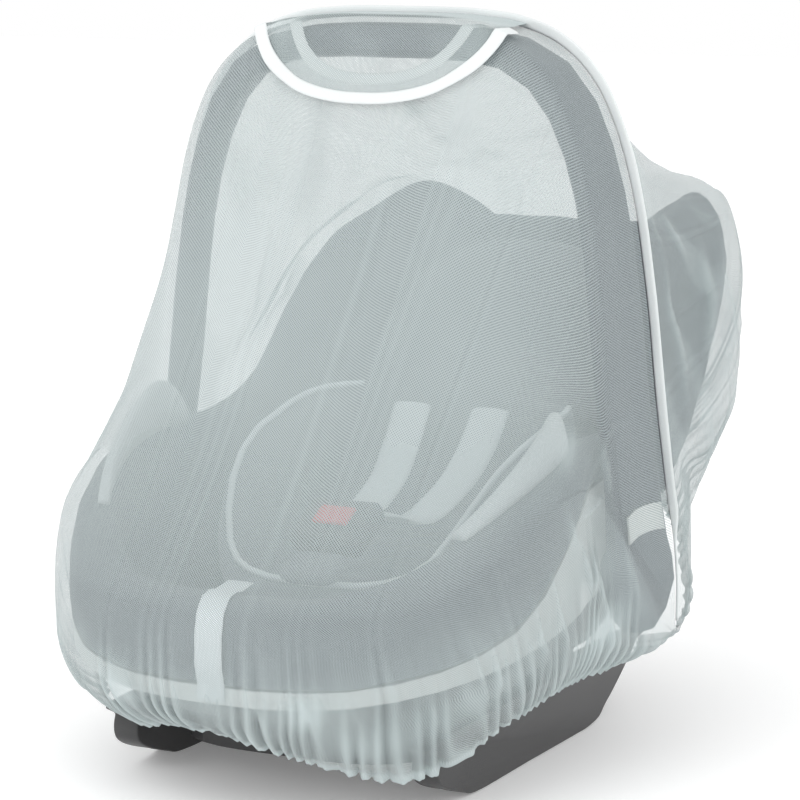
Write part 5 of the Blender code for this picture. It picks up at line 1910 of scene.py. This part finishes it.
def round_loops(path: Array, radius: float, corners: int) -> Array:
    """Loops of a round cord along a path.

    Args:
        path: Points of its centre line.
        radius: Radius of the cord.
        corners: Points on each loop.

    Returns:
        Loops shaped (points, corners, 3).
    """
    along = unit(np.gradient(path, axis=0))
    side = unit(np.cross(along, np.array([0.0, 0.0, 1.0])))
    over = np.cross(side, along)
    turn = 2 * np.pi * np.arange(corners) / corners
    return (path[:, None, :] + side[:, None, :] * (radius * np.cos(turn))[None, :, None]
            + over[:, None, :] * (radius * np.sin(turn))[None, :, None])


class Rockers:
    """Two rocker rails with a curved lower edge and rounded corners."""

    INNER = 0.118
    OUTER = 0.140
    ROUNDING = 0.0016

    def __init__(self, painter: Painter) -> None:
        """Build with a painter."""
        self.painter = painter

    @staticmethod
    def _outline() -> Array:
        """Closed curve through the rail's corners, flat where it stands on the floor."""
        wrapped = np.concatenate([RAIL_CORNERS[-2:], RAIL_CORNERS, RAIL_CORNERS[:2]])
        at = np.arange(len(wrapped), dtype=float)
        fine = 2.0 + np.arange(144) * len(RAIL_CORNERS) / 144
        along, height = (smooth_table(fine, at, column) for column in wrapped.T)
        return np.column_stack([along, np.maximum(height, 0.0)])

    def build(self) -> None:
        """Model both rails."""
        outline = self._outline()
        inward = unit(outline.mean(axis=0) - outline)
        turn = np.linspace(0.0, np.pi / 2, 5)
        inner = [(self.INNER + self.ROUNDING * (1 - math.cos(a)), 1 - math.sin(a)) for a in turn]
        outer = [(self.OUTER - across + self.INNER, share) for across, share in inner[::-1]]
        for side, name, node in ((1, "rocker_rail_near", "rocker_near"),
                                 (-1, "rocker_rail_far", "rocker_far")):
            loops = [np.column_stack([np.full(len(outline), side * across),
                                      outline + inward * self.ROUNDING * share])
                     for across, share in inner + outer]
            piece = MeshKit.tube(name, np.stack(loops))
            self.painter.paint(piece, "rocker")
            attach(piece, "root")
            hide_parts(node)


class HardParts:
    """CAD nodes that keep their shape and get a finish."""

    FINISH_OF_NODE = {
        "seat_shell": "shell",
        "buckle": "shell",
        "carry_handle": "handle",
        "pivot_near": "handle",
        "pivot_far": "handle",
        "trim_band": "trim",
        "button_near": "trim",
        "button_far": "trim",
        "buckle_release": "red",
    }

    def __init__(self, nodes: dict[str, bpy.types.Object], painter: Painter) -> None:
        """Dress these nodes of the frame."""
        self.nodes = nodes
        self.painter = painter

    def build(self) -> None:
        """Paint every carried-over node."""
        for name, finish in self.FINISH_OF_NODE.items():
            self.painter.paint(self.nodes[name], finish, own_uv=False)


# The studio


@dataclass(frozen=True)
class Studio:
    """Pale floor, soft light and the camera.

    Attributes:
        azimuth: Camera's turn round the seat, in degrees.
        elevation: Camera's height angle, in degrees.
        distance: Camera's distance from its target, in metres.
        lens: Focal length on the camera's sensor, in millimetres.
        target: Point in the middle of the frame.
    """

    azimuth: float = 26.8
    elevation: float = 9.3
    distance: float = 2.600
    lens: float = 146.25
    target: tuple[float, float, float] = (0.0028, -AXIS_SHIFT, 0.2695)

    def build(self) -> None:
        """Set up floor, light and camera."""
        self._floor()
        self._world()
        self._lights()
        self._camera()

    def _floor(self) -> None:
        """Wide pale floor with a faint glow, so that it stays nearly white."""
        mesh = bpy.data.meshes.new("studio_floor")
        size = 9.0
        corners = [(-size, -size, -0.0006), (size, -size, -0.0006), (size, size, -0.0006),
                   (-size, size, -0.0006)]
        mesh.from_pydata(corners, [], [(0, 1, 2, 3)])
        floor = bpy.data.objects.new("studio_floor", mesh)
        bpy.context.scene.collection.objects.link(floor)
        material = bpy.data.materials.new("pale_floor")
        material.use_nodes = True
        shader = material.node_tree.nodes["Principled BSDF"]
        shader.inputs["Base Color"].default_value = (0.97, 0.97, 0.97, 1.0)
        shader.inputs["Roughness"].default_value = 0.9
        shader.inputs["Emission Color"].default_value = (1.0, 1.0, 1.0, 1.0)
        shader.inputs["Emission Strength"].default_value = 0.16
        mesh.materials.append(material)

    def _world(self) -> None:
        """Even white surroundings and plain colours in the render."""
        world = bpy.data.worlds.new("studio_world")
        world.use_nodes = True
        background = world.node_tree.nodes["Background"]
        background.inputs["Color"].default_value = (1.0, 1.0, 1.0, 1.0)
        background.inputs["Strength"].default_value = 1.0
        bpy.context.scene.world = world
        bpy.context.scene.view_settings.view_transform = "Standard"

    def _lights(self) -> None:
        """Two large soft lamps in front, one at each side."""
        for name, place, power, size in (
                ("key_light", (-1.6, -2.4, 2.6), 30.0, 2.2),
                ("fill_light", (2.6, -1.4, 1.8), 16.0, 2.4)):
            light = bpy.data.lights.new(name, "AREA")
            light.energy = power
            light.size = size
            lamp = bpy.data.objects.new(name, light)
            lamp.location = place
            aim = np.array(self.target) - np.array(place)
            lamp.rotation_euler = self._look(aim)
            bpy.context.scene.collection.objects.link(lamp)

    @staticmethod
    def _look(direction: Array) -> tuple[float, float, float]:
        """Rotation that turns an object's -Z axis along a direction."""
        x, y, z = direction
        return (math.atan2(math.hypot(x, y), -z), 0.0, math.atan2(-x, y))

    def _camera(self) -> None:
        """Camera at the photo's angle."""
        turn, rise = math.radians(self.azimuth), math.radians(self.elevation)
        back = np.array([math.sin(turn) * math.cos(rise), -math.cos(turn) * math.cos(rise),
                         math.sin(rise)])
        data = bpy.data.cameras.new("photo_camera")
        data.lens = self.lens
        data.sensor_width = CAMERA_SENSOR
        data.clip_end = 50.0
        camera = bpy.data.objects.new("photo_camera", data)
        camera.location = np.array(self.target) + back * self.distance
        camera.rotation_euler = self._look(-back)
        bpy.context.scene.collection.objects.link(camera)
        bpy.context.scene.camera = camera


def main() -> None:
    """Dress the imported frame."""
    logging.basicConfig(level=logging.INFO)
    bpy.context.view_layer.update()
    painter = Painter()
    seat = SeatForm()
    HardParts(frame["nodes"], painter).build()
    Rockers(painter).build()
    SeatSoftGoods(seat, painter).build()
    NetPanels(NetForm(seat, HandleForm()), painter).build()
    Studio().build()


if __name__ == "__main__":
    main()
